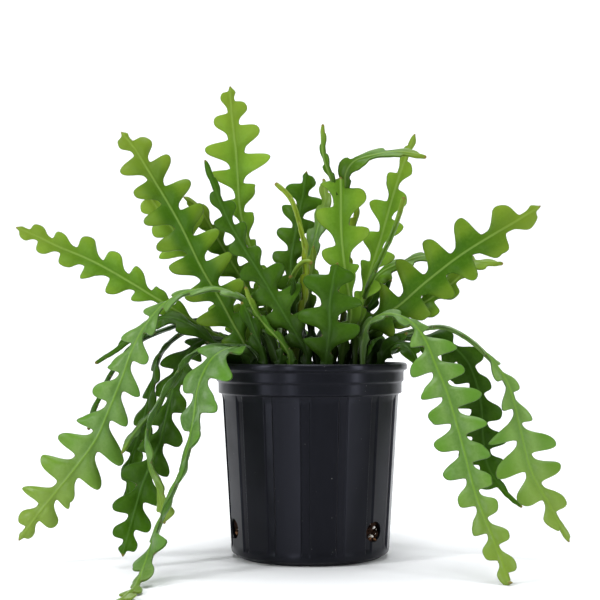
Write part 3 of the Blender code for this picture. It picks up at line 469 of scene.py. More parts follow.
        (-127, -61, 129.1), (-133.3, -67, 107.3), (-129.5, -73, 84.5), (-118.8, -81, 55.8),
        (-117, -85, 38)],
        (4, 8, 10, 10, 9, 10, 10.5, 10.5, 10.5), 28, (RIGHT_FRONT, UP, LEFT, LEFT, LEFT_FRONT),
        fullness=0.4, stalk=54, skin="bloom", tone=0.05, ahead=0.92, halves=(1.31, 1.07),
        pace=(0.85, 1, 1, 1, 1, 1), shoots=(
            Stem("", None, [
                (-131, -63.6, 124), (-138, -62, 117), (-146.3, -61, 106.2), (-155, -60, 92)],
                (3, 4, 2.9), 20, stalk=0, ahead=0.79),)),
    Stem("stem_front_trailing", (-46, -40), [
        (-47, -42, 172), (-58, -49, 178), (-77, -63, 172.9), (-89, -71, 152.7), (-94, -80, 117.5),
        (-98, -88, 94.2), (-110, -101, 62), (-118.4, -112, 39.8), (-124.8, -131, 16.6),
        (-128.2, -150, 6.4), (-129.6, -180, 1.2), (-134, -228, 0)],
        (4.4, 8.8, 16.6, 19.3, 19.7, 18.1, 13.2, 14.9, 9.9, 14.9, 13.1, 13.1, 13, 12.3, 11.7, 12.6,
         19.2, 10.7, 7.7, 4.2, 5.2, 5.3, 7, 6.3, 5), 31,
        (RIGHT_FRONT, UP, (-0.4, -0.8, 0.3), (-0.3, -0.9, 0.1), (-0.9, -0.4, 0), (-0.9, -0.2, 0.1),
         (-0.8, -0.1, 0.6), UP, UP, UP), hook=0.3, waist=0.3, fullness=0.4, stalk=32, start=2,
        skin="bloom", tone=0.13, ahead=0.57, halves=(1.4, 0.92)),
    Stem("stem_front_stub", (-26, -47), [
        (-25, -49, 168), (-23, -50, 181)],
        (6, 6), 40, hook=0, stalk=28, skin="deep"),
    Stem("stem_back_left", (-40, 42), [
        (-42, 52, 190), (-50, 68, 199), (-55, 84, 193), (-57, 96, 169), (-59, 104, 131),
        (-59, 110, 84)],
        (4, 10, 14, 15, 14, 11, 4), 28, (FRONT, UP, BACK, BACK), stalk=50, skin="deep"),
    Stem("stem_back_1", (-26, 46), [
        (-26, 60, 192), (-31, 80, 204), (-35, 100, 205), (-37, 118, 188), (-40, 130, 150),
        (-41, 138, 100), (-42, 142, 52), (-42, 146, 20)],
        (4, 12, 16, 17, 17, 16, 12, 4), 29, (FRONT, UP, BACK, BACK), stalk=55, start=1),
    Stem("stem_back_2", (-8, 54), [
        (-9, 68, 192), (-12, 90, 209), (-13, 112, 206), (-14, 130, 184), (-14, 142, 140),
        (-14, 150, 90), (-14, 155, 45)],
        (4, 12, 15, 15, 15, 14, 5), 29, (FRONT, UP, BACK, BACK), stalk=50, start=2, skin="bloom"),
    Stem("stem_back_3", (10, 52), [
        (11, 66, 193), (15, 86, 206), (18, 106, 207), (20, 124, 193), (21, 138, 155),
        (22, 146, 107), (23, 150, 62)],
        (4, 12, 14, 14, 14, 12, 4), 28, (FRONT, UP, BACK, BACK), stalk=50, skin="deep"),
    Stem("stem_back_4", (26, 44), [
        (31, 56, 192), (40, 74, 208), (48, 94, 211), (53, 112, 197), (57, 126, 165), (60, 134, 120),
        (62, 138, 75), (63, 142, 35)],
        (4, 11, 15, 16, 16, 15, 11, 4), 29, (FRONT, UP, BACK, BACK), stalk=52, start=3),
    Stem("stem_back_right", (42, 34), [
        (48, 46, 190), (53, 62, 197), (57, 80, 192), (60, 96, 168), (61, 104, 131), (60, 110, 84)],
        (4, 9, 12, 13, 12, 11, 4), 27, (FRONT, UP, BACK, BACK), stalk=48, start=1, skin="deep"),
]


def linear(code):
    """An sRGB hex colour as linear red, green and blue, with full alpha."""
    shares = np.array([int(code[place:place + 2], 16) for place in (1, 3, 5)]) / 255
    curved = ((shares + 0.055) / 1.055) ** 2.4
    return (*np.where(shares <= 0.04045, shares / 12.92, curved).tolist(), 1.0)


def ease(values):
    """A smooth step: three squares less two cubes of the value held between 0 and 1."""
    held = np.clip(values, 0, 1)
    return held * held * (3 - 2 * held)


def unit(vectors):
    """The vectors at length one."""
    return vectors / np.linalg.norm(vectors, axis=-1, keepdims=True)


def mesh_object(name, points, quads, triangles, values=None):
    """An object from arrays of points, quads and triangles, with named values at its points."""
    mesh = bpy.data.meshes.new(name)
    mesh.vertices.add(len(points))
    mesh.vertices.foreach_set("co", np.ascontiguousarray(points, np.float32).ravel())
    corners = np.concatenate((quads.ravel(), triangles.ravel()))
    mesh.loops.add(len(corners))
    mesh.loops.foreach_set("vertex_index", corners.astype(np.int32))
    starts = np.concatenate((np.arange(len(quads)) * 4,
                             quads.size + np.arange(len(triangles)) * 3))
    mesh.polygons.add(len(starts))
    mesh.polygons.foreach_set("loop_start", starts.astype(np.int32))
    mesh.update(calc_edges=True)
    mesh.validate()
    mesh.shade_smooth()
    for key, column in (values or {}).items():
        layer = mesh.attributes.new(key, "FLOAT", "POINT")
        layer.data.foreach_set("value", np.ascontiguousarray(column, np.float32))
    thing = bpy.data.objects.new(name, mesh)
    bpy.context.scene.collection.objects.link(thing)
    return thing


def ring_faces(rows, sides, offset=0):
    """The faces of a closed skin: quads between rings, and a fan from each end ring to its pole.

    Point number side of ring row is row times sides plus side. The two poles come after them.
    """
    index = offset + np.arange(rows * sides).reshape(rows, sides)
    after = np.roll(index, -1, axis=1)
    quads = np.stack((index[:-1], after[:-1], after[1:], index[1:]), axis=-1).reshape(-1, 4)
    pole = np.full(sides, offset + rows * sides)
    fans = (np.stack((pole, after[0], index[0]), axis=-1),
            np.stack((pole + 1, index[-1], after[-1]), axis=-1))
    return quads, np.concatenate(fans)


def closed_skin(name, rings, poles):
    """An object from a grid whose rows are rings, closed by a fan to a pole at each end."""
    quads, fans = ring_faces(*rings.shape[:2])
    return mesh_object(name, np.vstack((rings.reshape(-1, 3), poles)), quads, fans)


def settle(thing, material, slot, *nodes):
    """Give a finished piece its material, and let it stand for its CAD nodes. slot is not used."""
    thing.data.materials.append(material)
    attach(thing, BODY)
    if nodes:
        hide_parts(*nodes)


def ripples(points, length, seed):
    """Bumps of about a length: the mean of some sine waves in seeded directions, times a gain.

    The gain brings the mean to about -1 to 1.
    """
    draw = np.random.default_rng(seed)
    ways = unit(draw.normal(size=(RIPPLE_WAVES, 3)))
    ways = ways * draw.uniform(*RIPPLE_SPREAD, (RIPPLE_WAVES, 1)) * math.tau / length
    shifts = draw.uniform(0, math.tau, RIPPLE_WAVES)
    return np.sin(points @ ways.T + shifts).mean(axis=-1) * RIPPLE_GAIN


def rounded(corners, cut, steps=5):
    """A line of corners with each inner corner swept round.

    A corner gives way to a parabola that leaves and meets its two sides at the cut length, or
    at 0.45 of a shorter side.
    """
    corners = np.asarray(corners, float)
    spans = np.linalg.norm(np.diff(corners[:, :2], axis=0), axis=1)
    back = np.minimum(cut, 0.45 * spans[:-1]) / spans[:-1]
    on = np.minimum(cut, 0.45 * spans[1:]) / spans[1:]
    middle = corners[1:-1]
    before = middle + (corners[:-2] - middle) * back[:, None]
    beyond = middle + (corners[2:] - middle) * on[:, None]
    t = np.linspace(0, 1, steps)[None, :, None]
    swept = (before[:, None] * (1 - t) ** 2 + middle[:, None] * 2 * t * (1 - t)
             + beyond[:, None] * t**2)
    return np.vstack((corners[:1], swept.reshape(-1, corners.shape[1]), corners[-1:]))


def wall_radius(height):
    """The pot wall's outer radius below the collar, which widens evenly from foot to shoulder."""
    share = (height - FLUTE_BOTTOM) / (SHOULDER_HEIGHT - FLUTE_BOTTOM)
    return FOOT_RADIUS + share * (SHOULDER_RADIUS - FOOT_RADIUS)


def pot_outline(pot):
    """The pot's section from under its foot over the rim to its floor: radius, height, recess."""
    deep = pot.flute_depth
    low, high = FLUTE_FULL
    outside = [(BY_AXIS, 0, 0), (FOOT_FACE_RADIUS, 0, 0), (FOOT_RADIUS - 0.8 * MM, 4 * MM, 0),
               (FOOT_RADIUS, FLUTE_BOTTOM, 0), (wall_radius(low), low, deep),
               (wall_radius(high), high, deep),
               (SHOULDER_RADIUS, SHOULDER_HEIGHT - 0.5 * MM, 0)]
    collar = [(RIM_RADIUS - inset, height, 0) for inset, height in COLLAR]
    inside = [(RIM_RADIUS - 5.2 * MM, 158 * MM, 0), (SHOULDER_RADIUS, 146 * MM, 0),
              (SHOULDER_RADIUS - POT_WALL, SHOULDER_HEIGHT - 2 * MM, 0),
              (wall_radius(high) - POT_WALL, high - 3 * MM, deep),
              (wall_radius(low) - POT_WALL, low, deep),
              (FOOT_FACE_RADIUS + POT_WALL, POT_FLOOR, 0), (BY_AXIS, POT_FLOOR, 0)]
    return rounded(outside + collar + inside, pot.corner_radius)


def turned(name, outline, angles, share):
    """An outline (radius, height, recess) turned round the upright axis as one closed skin.

    A point's radius is the outline's less its recess times the share at its angle.
    """
    reach = outline[:, :1] - outline[:, 2:] * share
    height = np.broadcast_to(outline[:, 1:2], reach.shape)
    rings = np.stack((reach * np.cos(angles), reach * np.sin(angles), height), axis=-1)
    return closed_skin(name, rings, [(0, 0, outline[0, 1]), (0, 0, outline[-1, 1])])


def flute_angles():
    """The angles round the pot, close together at the flutes' sides, and how far in each one lies.

    The share is 1 on a flute's floor and goes to 0 over its sides as a smooth step. The panel
    between two flutes is nearly flat: it lies in by most of the chord's depth below the circle.
    """
    half = np.concatenate((-FLUTE_HALF[:0:-1], FLUTE_HALF))
    middles = np.degrees(FIRST_FLUTE) + np.arange(FLUTE_COUNT) * 360 / FLUTE_COUNT
    angles = np.radians((middles[:, None] + half).ravel())
    near, far = FLUTE_SIDES
    share = 1 - ease((np.abs(half) - near) / (far - near))
    step = 180 / FLUTE_COUNT
    chord = 1 - np.cos(np.radians(step - far)) / np.cos(np.radians(step - np.abs(half)))
    flat = np.where(np.abs(half) > far, chord * PANEL_FLATNESS * SHOULDER_RADIUS / FLUTE_DEPTH, 0)
    return angles, np.tile(np.maximum(share, flat), FLUTE_COUNT)


def drain_cutter(angle):
    """An oval bar through the wall, pointing outwards at the angle."""
    turn = np.arange(DRAIN_SIDES) * math.tau / DRAIN_SIDES
    outward = np.array((math.cos(angle), math.sin(angle), 0))
    across = np.array((-math.sin(angle), math.cos(angle), 0))
    oval = (across * DRAIN_HALF_WIDTH * np.cos(turn)[:, None]
            + np.array((0, 0, 1)) * DRAIN_HALF_HEIGHT * np.sin(turn)[:, None])
    centre = np.array((0, 0, DRAIN_HEIGHT))
    ends = [centre + outward * (FOOT_RADIUS + reach) for reach in DRAIN_REACH]
    return closed_skin("drain_cutter", np.stack([end + oval for end in ends]), ends)


def cut_out(target, tools):
    """Cut the tools out of the target with one Boolean modifier, apply it and drop the tools."""
    group = bpy.data.collections.new("cutters")
    for tool in tools:
        group.objects.link(tool)
    cut = target.modifiers.new("drain_holes", "BOOLEAN")
    cut.operation = "DIFFERENCE"
    cut.solver = "EXACT"
    cut.operand_type = "COLLECTION"
    cut.collection = group
    bpy.context.view_layer.update()
    seen = target.evaluated_get(bpy.context.evaluated_depsgraph_get())
    result = bpy.data.meshes.new_from_object(seen)
    target.modifiers.clear()
    target.data = result
    for tool in tools:
        bpy.data.objects.remove(tool, do_unlink=True)
    bpy.data.collections.remove(group)


def make_pot(pot):
    """The fluted pot with its bands, rolled rim and oval drain holes."""
    thing = turned("pot_body", pot_outline(pot), *flute_angles())
    turns = [FIRST_DRAIN + drain * math.tau / DRAIN_COUNT for drain in range(DRAIN_COUNT)]
    cut_out(thing, [drain_cutter(turn) for turn in turns])
    thing.data.set_sharp_from_angle(angle=SHARP_ANGLE)
    return thing


def crumbs_height(points, mix):
    """How far the mix's surface stands out at some points: lumps, clods and crumbs, summed."""
    lumps, clods, crumbs = (ripples(points, *ripple) for ripple in MIX_RIPPLES)
    return (lumps * mix.lump_height + np.abs(clods) * mix.clod_height
            + crumbs * mix.clod_height * CRUMB_SHARE)


def mix_top(radius):
    """The mix's height before its crumbs: level in the middle and a little lower at its edge."""
    rise = MIX_TOP - MIX_EDGE_HEIGHT
    edge = wall_radius(MIX_EDGE_HEIGHT)
    return MIX_TOP - MIX_DOME - rise * ease((radius - MIX_SHOULDER) / (edge - MIX_SHOULDER))


def make_mix(mix):
    """The plug of potting mix: an outline turned round the axis, then roughened.

    Its top moves up and down by the crumbs' height. Its side only moves inwards, by that height
    and a clod's, so that it stays inside the pot's wall.
    """
    inset = POT_WALL + FLUTE_DEPTH + GAP
    side_heights = np.linspace(4 * MM, MIX_EDGE_HEIGHT - 1 * MM, MIX_SIDE_RINGS)
    side = np.stack((wall_radius(side_heights) - inset, side_heights), axis=1)
    over = MIX_EDGE_HEIGHT - SHOULDER_HEIGHT
    side[:, 0] += MIX_SPREAD * ease((side_heights - SHOULDER_HEIGHT) / over)
    top_radii = np.linspace(side[-1, 0] - 0.6 * MM, 1 * MM, MIX_TOP_RINGS)
    top = np.stack((top_radii, mix_top(top_radii)), axis=1)
    low = POT_FLOOR + GAP
    outline = np.vstack(([(BY_AXIS, low), (FOOT_FACE_RADIUS, low)], side, top))
    angles = np.arange(MIX_SIDES) * math.tau / MIX_SIDES
    around = np.stack((np.cos(angles), np.sin(angles), np.zeros(len(angles))), axis=1)
    rings = outline[:, None, :1] * around + outline[:, None, 1:] * np.array((0, 0, 1))
    rough = crumbs_height(rings.reshape(-1, 3), mix).reshape(rings.shape[:2])
    on_top = np.zeros(len(outline))
    on_top[-len(top):] = ease(np.arange(len(top)) / 6)
    rings[..., 2] += rough * on_top[:, None]
    on_side = 1 - on_top
    on_side[:2] = 0
    inwards = np.maximum(rough + mix.clod_height, 0) * on_side[:, None]
    rings -= around * inwards[..., None]
    return closed_skin("peat_plug", rings, [(0, 0, outline[0, 1]), rings[-1].mean(axis=0)])


def ball(halvings):
    """A ball of triangles: an icosahedron whose edges are halved and pushed out to radius one."""
    gold = (1 + math.sqrt(5)) / 2
    points = [(x, y * gold, 0) for x in (-1, 1) for y in (-1, 1)]
    points += [(0, x, y * gold) for x in (-1, 1) for y in (-1, 1)]
    points += [(y * gold, 0, x) for x in (-1, 1) for y in (-1, 1)]
    points = unit(np.array(points, float))
    near = points @ points.T > NEIGHBOUR_COSINE
    np.fill_diagonal(near, False)
    faces = [(a, b, c) for a in range(12) for b in range(a + 1, 12) for c in range(b + 1, 12)
             if near[a, b] and near[b, c] and near[a, c]]
    for _ in range(halvings):
        points, faces = halved(points, faces)
    faces = np.array(faces)
    corners = points[faces]
    way = np.cross(corners[:, 1] - corners[:, 0], corners[:, 2] - corners[:, 0])
    inward = (way * corners.mean(axis=1)).sum(axis=1) < 0
    faces[inward] = faces[inward][:, ::-1]
    return points, faces


def halved(points, faces):
    """Each triangle split in four at the middles of its edges, which move out to radius one."""
    points = [tuple(point) for point in points]
    middles = {}
    split = []
    for face in faces:
        mid = []
        for first, second in zip(face, (*face[1:], face[0])):
            key = (min(first, second), max(first, second))
            if key not in middles:
                middles[key] = len(points)
                halfway = np.add(points[first], points[second])
                points.append(tuple(halfway / np.linalg.norm(halfway)))
            mid.append(middles[key])
        a, b, c = face
        split += [(a, mid[0], mid[2]), (b, mid[1], mid[0]), (c, mid[2], mid[1]), tuple(mid)]
    return np.array(points), split


def turns_of(draw, count):
    """Turns in every direction, as 3 by 3 arrays from four-part numbers of length one."""
    w, x, y, z = unit(draw.normal(size=(count, 4))).T
    rows = [(1 - 2 * (y * y + z * z), 2 * (x * y - z * w), 2 * (x * z + y * w)),
            (2 * (x * y + z * w), 1 - 2 * (x * x + z * z), 2 * (y * z - x * w)),
            (2 * (x * z - y * w), 2 * (y * z + x * w), 1 - 2 * (x * x + y * y))]
    return np.stack([np.stack(row, axis=-1) for row in rows], axis=1)


def scattered(name, shape, centres, sizes, turns, draw, roughness):
    """Copies of a ball, each dented by its own random factors, stretched, turned and moved.

    roughness is the most by which a point moves in or out, as a share of the radius.
    """
    points, faces = shape
    count = len(centres)
    dents = 1 + draw.uniform(-roughness, roughness, (count, len(points), 1))
    local = points[None] * dents * sizes[:, None]
    placed = np.einsum("nij,npj->npi", turns, local) + centres[:, None]
    triangles = faces[None] + (np.arange(count) * len(points))[:, None, None]
    shades = np.repeat(draw.uniform(0, 1, count), len(points))
    return mesh_object(name, placed.reshape(-1, 3), np.zeros((0, 4), int),
                       triangles.reshape(-1, 3), {"shade": shades})


def spots_on_top(draw, count, mix):
    """Places spread evenly over the mix's top, resting on its lumps."""
    reach = wall_radius(MIX_EDGE_HEIGHT) - GRAIN_MARGIN
    radius = reach * np.sqrt(draw.uniform(0, 1, count))
    angle = draw.uniform(0, math.tau, count)
    spots = np.stack((radius * np.cos(angle), radius * np.sin(angle), mix_top(radius)), axis=1)
    spots[:, 2] += crumbs_height(spots, mix)
    return spots


def spots_in_drains(draw, count, mix):
    """Places on the mix's side that show through the drain holes."""
    drain = FIRST_DRAIN + draw.integers(0, DRAIN_COUNT, count) * math.tau / DRAIN_COUNT
    turn = draw.uniform(0, math.tau, count)
    reach = np.sqrt(draw.uniform(0, 1, count)) * DRAIN_SPREAD
    across = reach * np.cos(turn) * DRAIN_HALF_WIDTH
    height = DRAIN_HEIGHT + reach * np.sin(turn) * DRAIN_HALF_HEIGHT
    radius = wall_radius(height) - POT_WALL - FLUTE_DEPTH - GAP - mix.clod_height
    angle = drain + across / radius
    return np.stack((radius * np.cos(angle), radius * np.sin(angle), height), axis=1)


def make_grains(name, number, mix, top, drains, length, stretch, halvings, roughness):
    """Grains of one kind on the mix's top and in its drain holes.

    A grain is a ball times a length drawn between the two given, times a stretch a side.
    """
    draw = np.random.default_rng(number)
    centres = np.vstack((spots_on_top(draw, top, mix), spots_in_drains(draw, drains, mix)))
    count = len(centres)
    least, most = length
    sizes = (least + (most - least) * draw.uniform(0, 1, (count, 1)) ** 2) / 2
    sizes = sizes * np.array(stretch) * draw.uniform(*GRAIN_STRETCHES, (count, 3))
    centres[:top, 2] += sizes[:top].min(axis=1) * GRAIN_LIFT
    turns = turns_of(draw, count)
    return scattered(name, ball(halvings), centres, sizes, turns, draw, roughness)


def curve_through(points, step):
    """A smooth curve through the points, read every step.

    Each stretch is a cubic whose end slopes are the weighted means of its neighbours' slopes.
    """
    points = np.asarray(points, float)
    spans = np.linalg.norm(np.diff(points, axis=0), axis=1)
    slopes = np.diff(points, axis=0) / spans[:, None]
    ends = np.vstack((slopes[:1], slopes, slopes[-1:]))
    weights = np.concatenate((spans[:1], spans, spans[-1:]))
    tangents = ends[:-1] * weights[1:, None] + ends[1:] * weights[:-1, None]
    tangents /= (weights[1:] + weights[:-1])[:, None]
    pieces = []
    for index, span in enumerate(spans):
        count = max(int(round(span / step)), 2)
        t = np.linspace(0, 1, count, endpoint=False)[:, None]
        pieces.append(points[index] * (2 * t**3 - 3 * t**2 + 1)
                      + points[index + 1] * (3 * t**2 - 2 * t**3)
                      + tangents[index] * span * (t**3 - 2 * t**2 + t)
                      + tangents[index + 1] * span * (t**3 - t**2))
    pieces.append(points[-1:])
    return np.vstack(pieces)


def distances(points):
    """How far along a line each of its points lies."""
    return np.concatenate(((0,), np.cumsum(np.linalg.norm(np.diff(points, axis=0), axis=1))))


def read_at(places, keys, rows):
    """Rows of values that stand at some keys, read at other places between them."""
    return np.stack([np.interp(places, keys, column) for column in np.transpose(rows)], axis=-1)


def even_line(points):
    """The same line with points every LINE_STEP along it."""
    lengths = distances(points)
    count = max(int(lengths[-1] / LINE_STEP), 4)
    return read_at(np.linspace(0, lengths[-1], count + 1), lengths, points)


def softened(values, spread):
    """The values blurred along the line by a bell curve, with both ends kept in place."""
    reach = min(int(3 * spread / LINE_STEP), len(values) - 1)
    places = np.arange(-reach, reach + 1) * LINE_STEP
    bell = np.exp(-0.5 * (places / spread) ** 2)
    bell /= bell.sum()
    before = 2 * values[0] - values[reach:0:-1]
    after = 2 * values[-1] - values[-2:-reach - 2:-1]
    padded = np.vstack((before, values, after))
    columns = [np.convolve(padded[:, axis], bell, "valid") for axis in range(values.shape[1])]
    return np.stack(columns, axis=1)


def centre_line(stem):
    """The stem's middle line from the foot in its hole to the tip."""
    route = [np.array(point) * MM for point in stem.route]
    if stem.foot:
        x, y = (value * MM for value in stem.foot)
        upright = (GAP - HOLE_DEPTH, UPRIGHT_FROM, UPRIGHT_TO)
        route = [np.array((x, y, MIX_TOP + height)) for height in upright] + route
    line = softened(even_line(curve_through(route, LINE_STEP)), SMOOTHING)
    line[:, 2] = np.maximum(line[:, 2], LOWEST_LINE)
    return even_line(line)


class Blade:
    """A stem's line, the way that its blade faces, and its two lobed edges.

    The side is the line's direction crossed with the way that the blade should face. The marks
    pair places along the line with the number of lobes reached there, which is the pace summed
    up along the line over the pitch. A lobe draws its own share more or less of the width, its
    lean along the pitch, its curl and its tone.
    """

    def __init__(self, stem, number):
        self.stem = stem
        self.line = centre_line(stem)
        self.places = distances(self.line)
        self.length = self.places[-1]
        along = unit(np.gradient(self.line, axis=0))
        keys = np.linspace(0, self.length, len(stem.faces))
        self.side = unit(np.cross(along, read_at(self.places, keys, stem.faces)))
        self.face = unit(np.cross(self.side, along))
        self.first = stem.stalk * MM
        self.thin = max(stem.widths) <= THIN
        parts = 2 if self.thin else 4
        count = max(int(round((self.length - self.first) / (stem.pitch * MM / parts))), 2)
        self.pitch = (self.length - self.first) / count * parts
        self.lead = stem.start / parts + stem.ahead
        far = np.linspace(self.first - self.length, 2 * self.length, MARKS)
        share = (far - self.first) / (self.length - self.first)
        pace = np.interp(share, np.linspace(0, 1, len(stem.pace)), stem.pace)
        steps = (pace[1:] + pace[:-1]) / 2 * np.diff(far)
        lobes = np.concatenate(((0,), np.cumsum(steps))) / self.pitch
        self.marks = far, lobes - np.interp(self.first, far, lobes)
        self.halves = dict(zip(HAND_LEAD, stem.halves))
        draw = np.random.default_rng(SEED + number)
        self.vary = {hand: 1 + LOBE_VARIATION * draw.uniform(-1, 1, MOST_LOBES)
                     for hand in HAND_LEAD}
        self.lean = {hand: draw.uniform(-LOBE_LEAN, LOBE_LEAN, MOST_LOBES) for hand in HAND_LEAD}
        self.wave = {hand: draw.uniform(0, math.tau) for hand in HAND_LEAD}
        self.cup = draw.uniform(-MOST_CUP, MOST_CUP)
        draw = np.random.default_rng(SEED + MOST_LOBES * (number + 1))
        self.odd = draw.uniform(-1, 1, (2, 2, MOST_LOBES))
        self.profile = self.lobe_profile()

    def lobe_profile(self):
        """A lobe's edge read evenly along its length: its place in the pitch, and its height.

        The given points are scaled to the lobe's real size, joined three lobes in a row by a
        smooth curve, and the middle lobe is read.
        """
        corners = SQUARE_LOBE + self.stem.hook * (HOOKED_LOBE - SQUARE_LOBE)
        if self.thin:
            corners = SQUARE_LOBE - (THIN_SHIFT, 0)
            corners[:, 1] = THIN_NOTCH + (1 - THIN_NOTCH) * corners[:, 1]
        corners[:, 1] += self.stem.fullness * corners[:, 1] * (1 - corners[:, 1])
        size = np.array((self.pitch, np.mean(self.stem.widths) * MM * (1 - self.stem.waist)))
        run = corners[:-1] * size
        row = [run + np.array((self.pitch * lobe, 0)) for lobe in (-1, 0, 1)]
        row.append(row[0][:1] + np.array((self.pitch * 3, 0)))
        curve = curve_through(np.vstack(row), PROFILE_STEP)
        far = distances(curve)
        start, end = (far[np.argmin(np.linalg.norm(curve - lobe[0], axis=1))] for lobe in row[1:3])
        shape = read_at(np.linspace(start, end, PROFILE_POINTS), far, curve) / size
        return np.linspace(0, 1, PROFILE_POINTS), shape[:, 0], shape[:, 1]

    def place_of(self, count):
        """How far along the line a number of lobes from the start of the blade reaches."""
        return np.interp(count, self.marks[1], self.marks[0])

    def edge(self, places, hand):
        """One edge beside each place: its own place and half width, the lobe's share and number.

        A lobe starts every pitch, and the right edge's lobes start half a pitch after the left
        edge's. The half width is the blade's own, times the waist plus the lobe's height. A
        point of the edge moves to its place in the lobe, less near the blade's two ends.
        """
        ahead = HAND_LEAD[hand]
        count = np.interp(places, *self.marks) + self.lead + ahead
        lobe = np.floor(count)
        share = count - lobe
        draw = lobe.astype(int) % MOST_LOBES
        keys, offsets, heights = self.profile
        place = self.place_of(lobe - self.lead - ahead + np.interp(share, keys, offsets))
        height = np.interp(share, keys, heights)
        place = place + self.lean[hand][draw] * self.pitch * np.clip(height, 0, 1)
        fade = ease((places - self.first) / (LOBES_IN * self.pitch))
        fade = fade * ease((self.length - places) / (LOBES_OUT * self.pitch))
        place = np.clip(places + (place - places) * fade, self.first, self.length)
        along = (place - self.first) / (self.length - self.first)
        widths = np.interp(along, np.linspace(0, 1, len(self.stem.widths)), self.stem.widths)
        widths = widths * MM * self.halves[hand]
        size = self.vary[hand][draw] * height * (1 - self.stem.waist)
        return place, np.maximum(widths * (self.stem.waist + size), LEAST_HALF_WIDTH), share, draw

    def at(self, places, across, out):
        """Points that lie across and out from the line at some places along it."""
        line, side, face = (read_at(places, self.places, rows)
                            for rows in (self.line, self.side, self.face))
        return line + side * across[..., None] + face * out[..., None]

    def rows(self, look):
        """The places of the blade's rings: coarse up the stalk, finer on the blade and its tip.

        Over the last few millimetres the places go as the sine of an even angle, which rounds
        the tip.
        """
        tip = min(TIP_REACH, 0.5 * (self.length - self.first))
        stalk = np.arange(0, self.first, look.stalk_step)
        per_lobe = look.thin_rows if self.thin else look.lobe_rows
        count = max(int(round((self.length - tip - self.first) / self.pitch * per_lobe)), 6)
        blade = np.linspace(self.first, self.length - tip, count, endpoint=False)
        turn = np.radians(np.linspace(0, TIP_TURN, TIP_RINGS))
        return np.concatenate((stalk, blade, self.length - tip + tip * np.sin(turn))), tip


def columns(width, look):
    """How far across each column lies, from the midrib to the margin, for each half width.

    Four lie close by the midrib, three close by the margin, and two share the space between.
    """
    width = width[:, None]
    near = np.minimum(RIB_COLUMNS, width * RIB_SHARES)
    far = width - np.minimum(MARGIN_COLUMNS * look.margin_radius, width * MARGIN_SHARES)
    last = near[:, -1:]
    gap = far[:, :1] - last
    return np.concatenate((near, last + gap / 3, last + gap * 2 / 3, far), axis=1)


def half_blade(blade, places, tip, hand, look):
    """One half of a blade: its upper and under points, and what the skin reads at them.

    A point lies out from the line by the blade's thickness there, which is the body's, thinner
    towards the margin and rounded at it, plus a bell-shaped midrib, a fine vein that runs to
    each notch and a swelling of each lobe between its veins. The half also bows and waves a
    little, more towards its margin, and each lobe curls up or down by its own share. The round
    stalk widens towards the blade, and the blade narrows to a small blunt tip.
    """
    place, width, share, lobe = blade.edge(places, hand)
    end = np.clip((places - (blade.length - tip)) / tip, 0, 1)
    roundness = np.sqrt(1 - end * end)
    pointed = ease((blade.length - places) / look.tip_taper)
    width = np.minimum(width, look.tip_half + (width - look.tip_half) * pointed)
    grown = np.ones(len(places))
    if blade.stem.foot:
        start = blade.first - STALK_BLEND
        grown = ease((places - start) / (WIDTH_IN * blade.pitch + STALK_BLEND))
    stalk = FOOT_STEM_RADIUS * (1 + look.flare * ease(places / max(blade.first, 1 * MM)))
    width = (width * grown + stalk * (1 - grown)) * roundness
    across = columns(width, look)
    share_across = across / width[:, None]
    from_margin = width[:, None] - across
    rim = np.sqrt(1 - (1 - np.clip(from_margin / look.margin_radius, 0, 1)) ** 2)
    body = look.edge_half + (look.middle_half - look.edge_half) * (1 - share_across)
    rib = look.midrib_height * np.exp(-(across / look.midrib_width) ** 2)
    to_notch = np.minimum(share, 1 - share)[:, None]
    vein = look.vein_height * np.exp(-(to_notch / VEIN_SPREAD) ** 2) * (1 - share_across**2)
    swelling = np.sin(math.pi * share)[:, None] ** 2
    swelling = swelling * np.sin(math.pi * share_across**SWELLING_LEAN) ** 2
    swelling = swelling * look.swelling * np.minimum(width / look.swelling_width, 1)[:, None]
    flat = (body + rib + vein + swelling) * rim
    round_foot = FOOT_STEM_RADIUS * np.sqrt(np.clip(1 - share_across**2, 0, 1))
    grown = grown[:, None]
    half = (flat * grown + round_foot * (1 - grown)) * np.sqrt(roundness)[:, None]
    along = places[:, None] + (place - places)[:, None] * share_across
    wave = look.wave * np.sin(math.tau * along / (WAVE_PITCHES * blade.pitch) + blade.wave[hand])
    curl, lighter = blade.odd[:, int(hand > 0), lobe] * np.sin(math.pi * share)
    bow = width[:, None] * share_across**2 * (blade.cup + wave + look.curl * curl[:, None]) * grown
    upper = blade.at(along, across * hand, bow + half)
    under = blade.at(along, across * hand, bow - half)
    full = blade.length - blade.first
    notch = np.exp(-(to_notch / NOTCH_SPREAD) ** 2 - (from_margin / NOTCH_REACH) ** 2)
    values = {
        "midrib": across / MM,
        "margin": from_margin / MM,
        "along": np.clip((along - blade.first) / full, 0, 1) * blade.stem.youth,
        "height": np.clip((along - blade.first) / MM, -60, 400),
        "notch": notch * grown,
        "end": (blade.length - along) / MM,
        # How far a point lies from the crown's middle, which the skin reads to paint shade there
        "crown": np.linalg.norm(upper - CROWN_SHADE_MIDDLE, axis=-1) / MM,
        "tone": blade.stem.tone + look.lobe_tone * lighter[:, None] * share_across,
    }
    return upper, under, values


def round_trip(left, right):
    """The ring over a blade and back under it, from its left margin, on rows of columns."""
    over = (left[0][:, ::-1], right[0][:, 1:])
    below = (right[1][:, -2::-1], left[1][:, 1:-1])
    return np.concatenate((*over, *below), axis=1)


def parts_of(stem, number):
    """The stem and the shoots that grew on it, each with a number of its own."""
    return [(part, number + len(STEMS) * order) for order, part in enumerate((stem, *stem.shoots))]


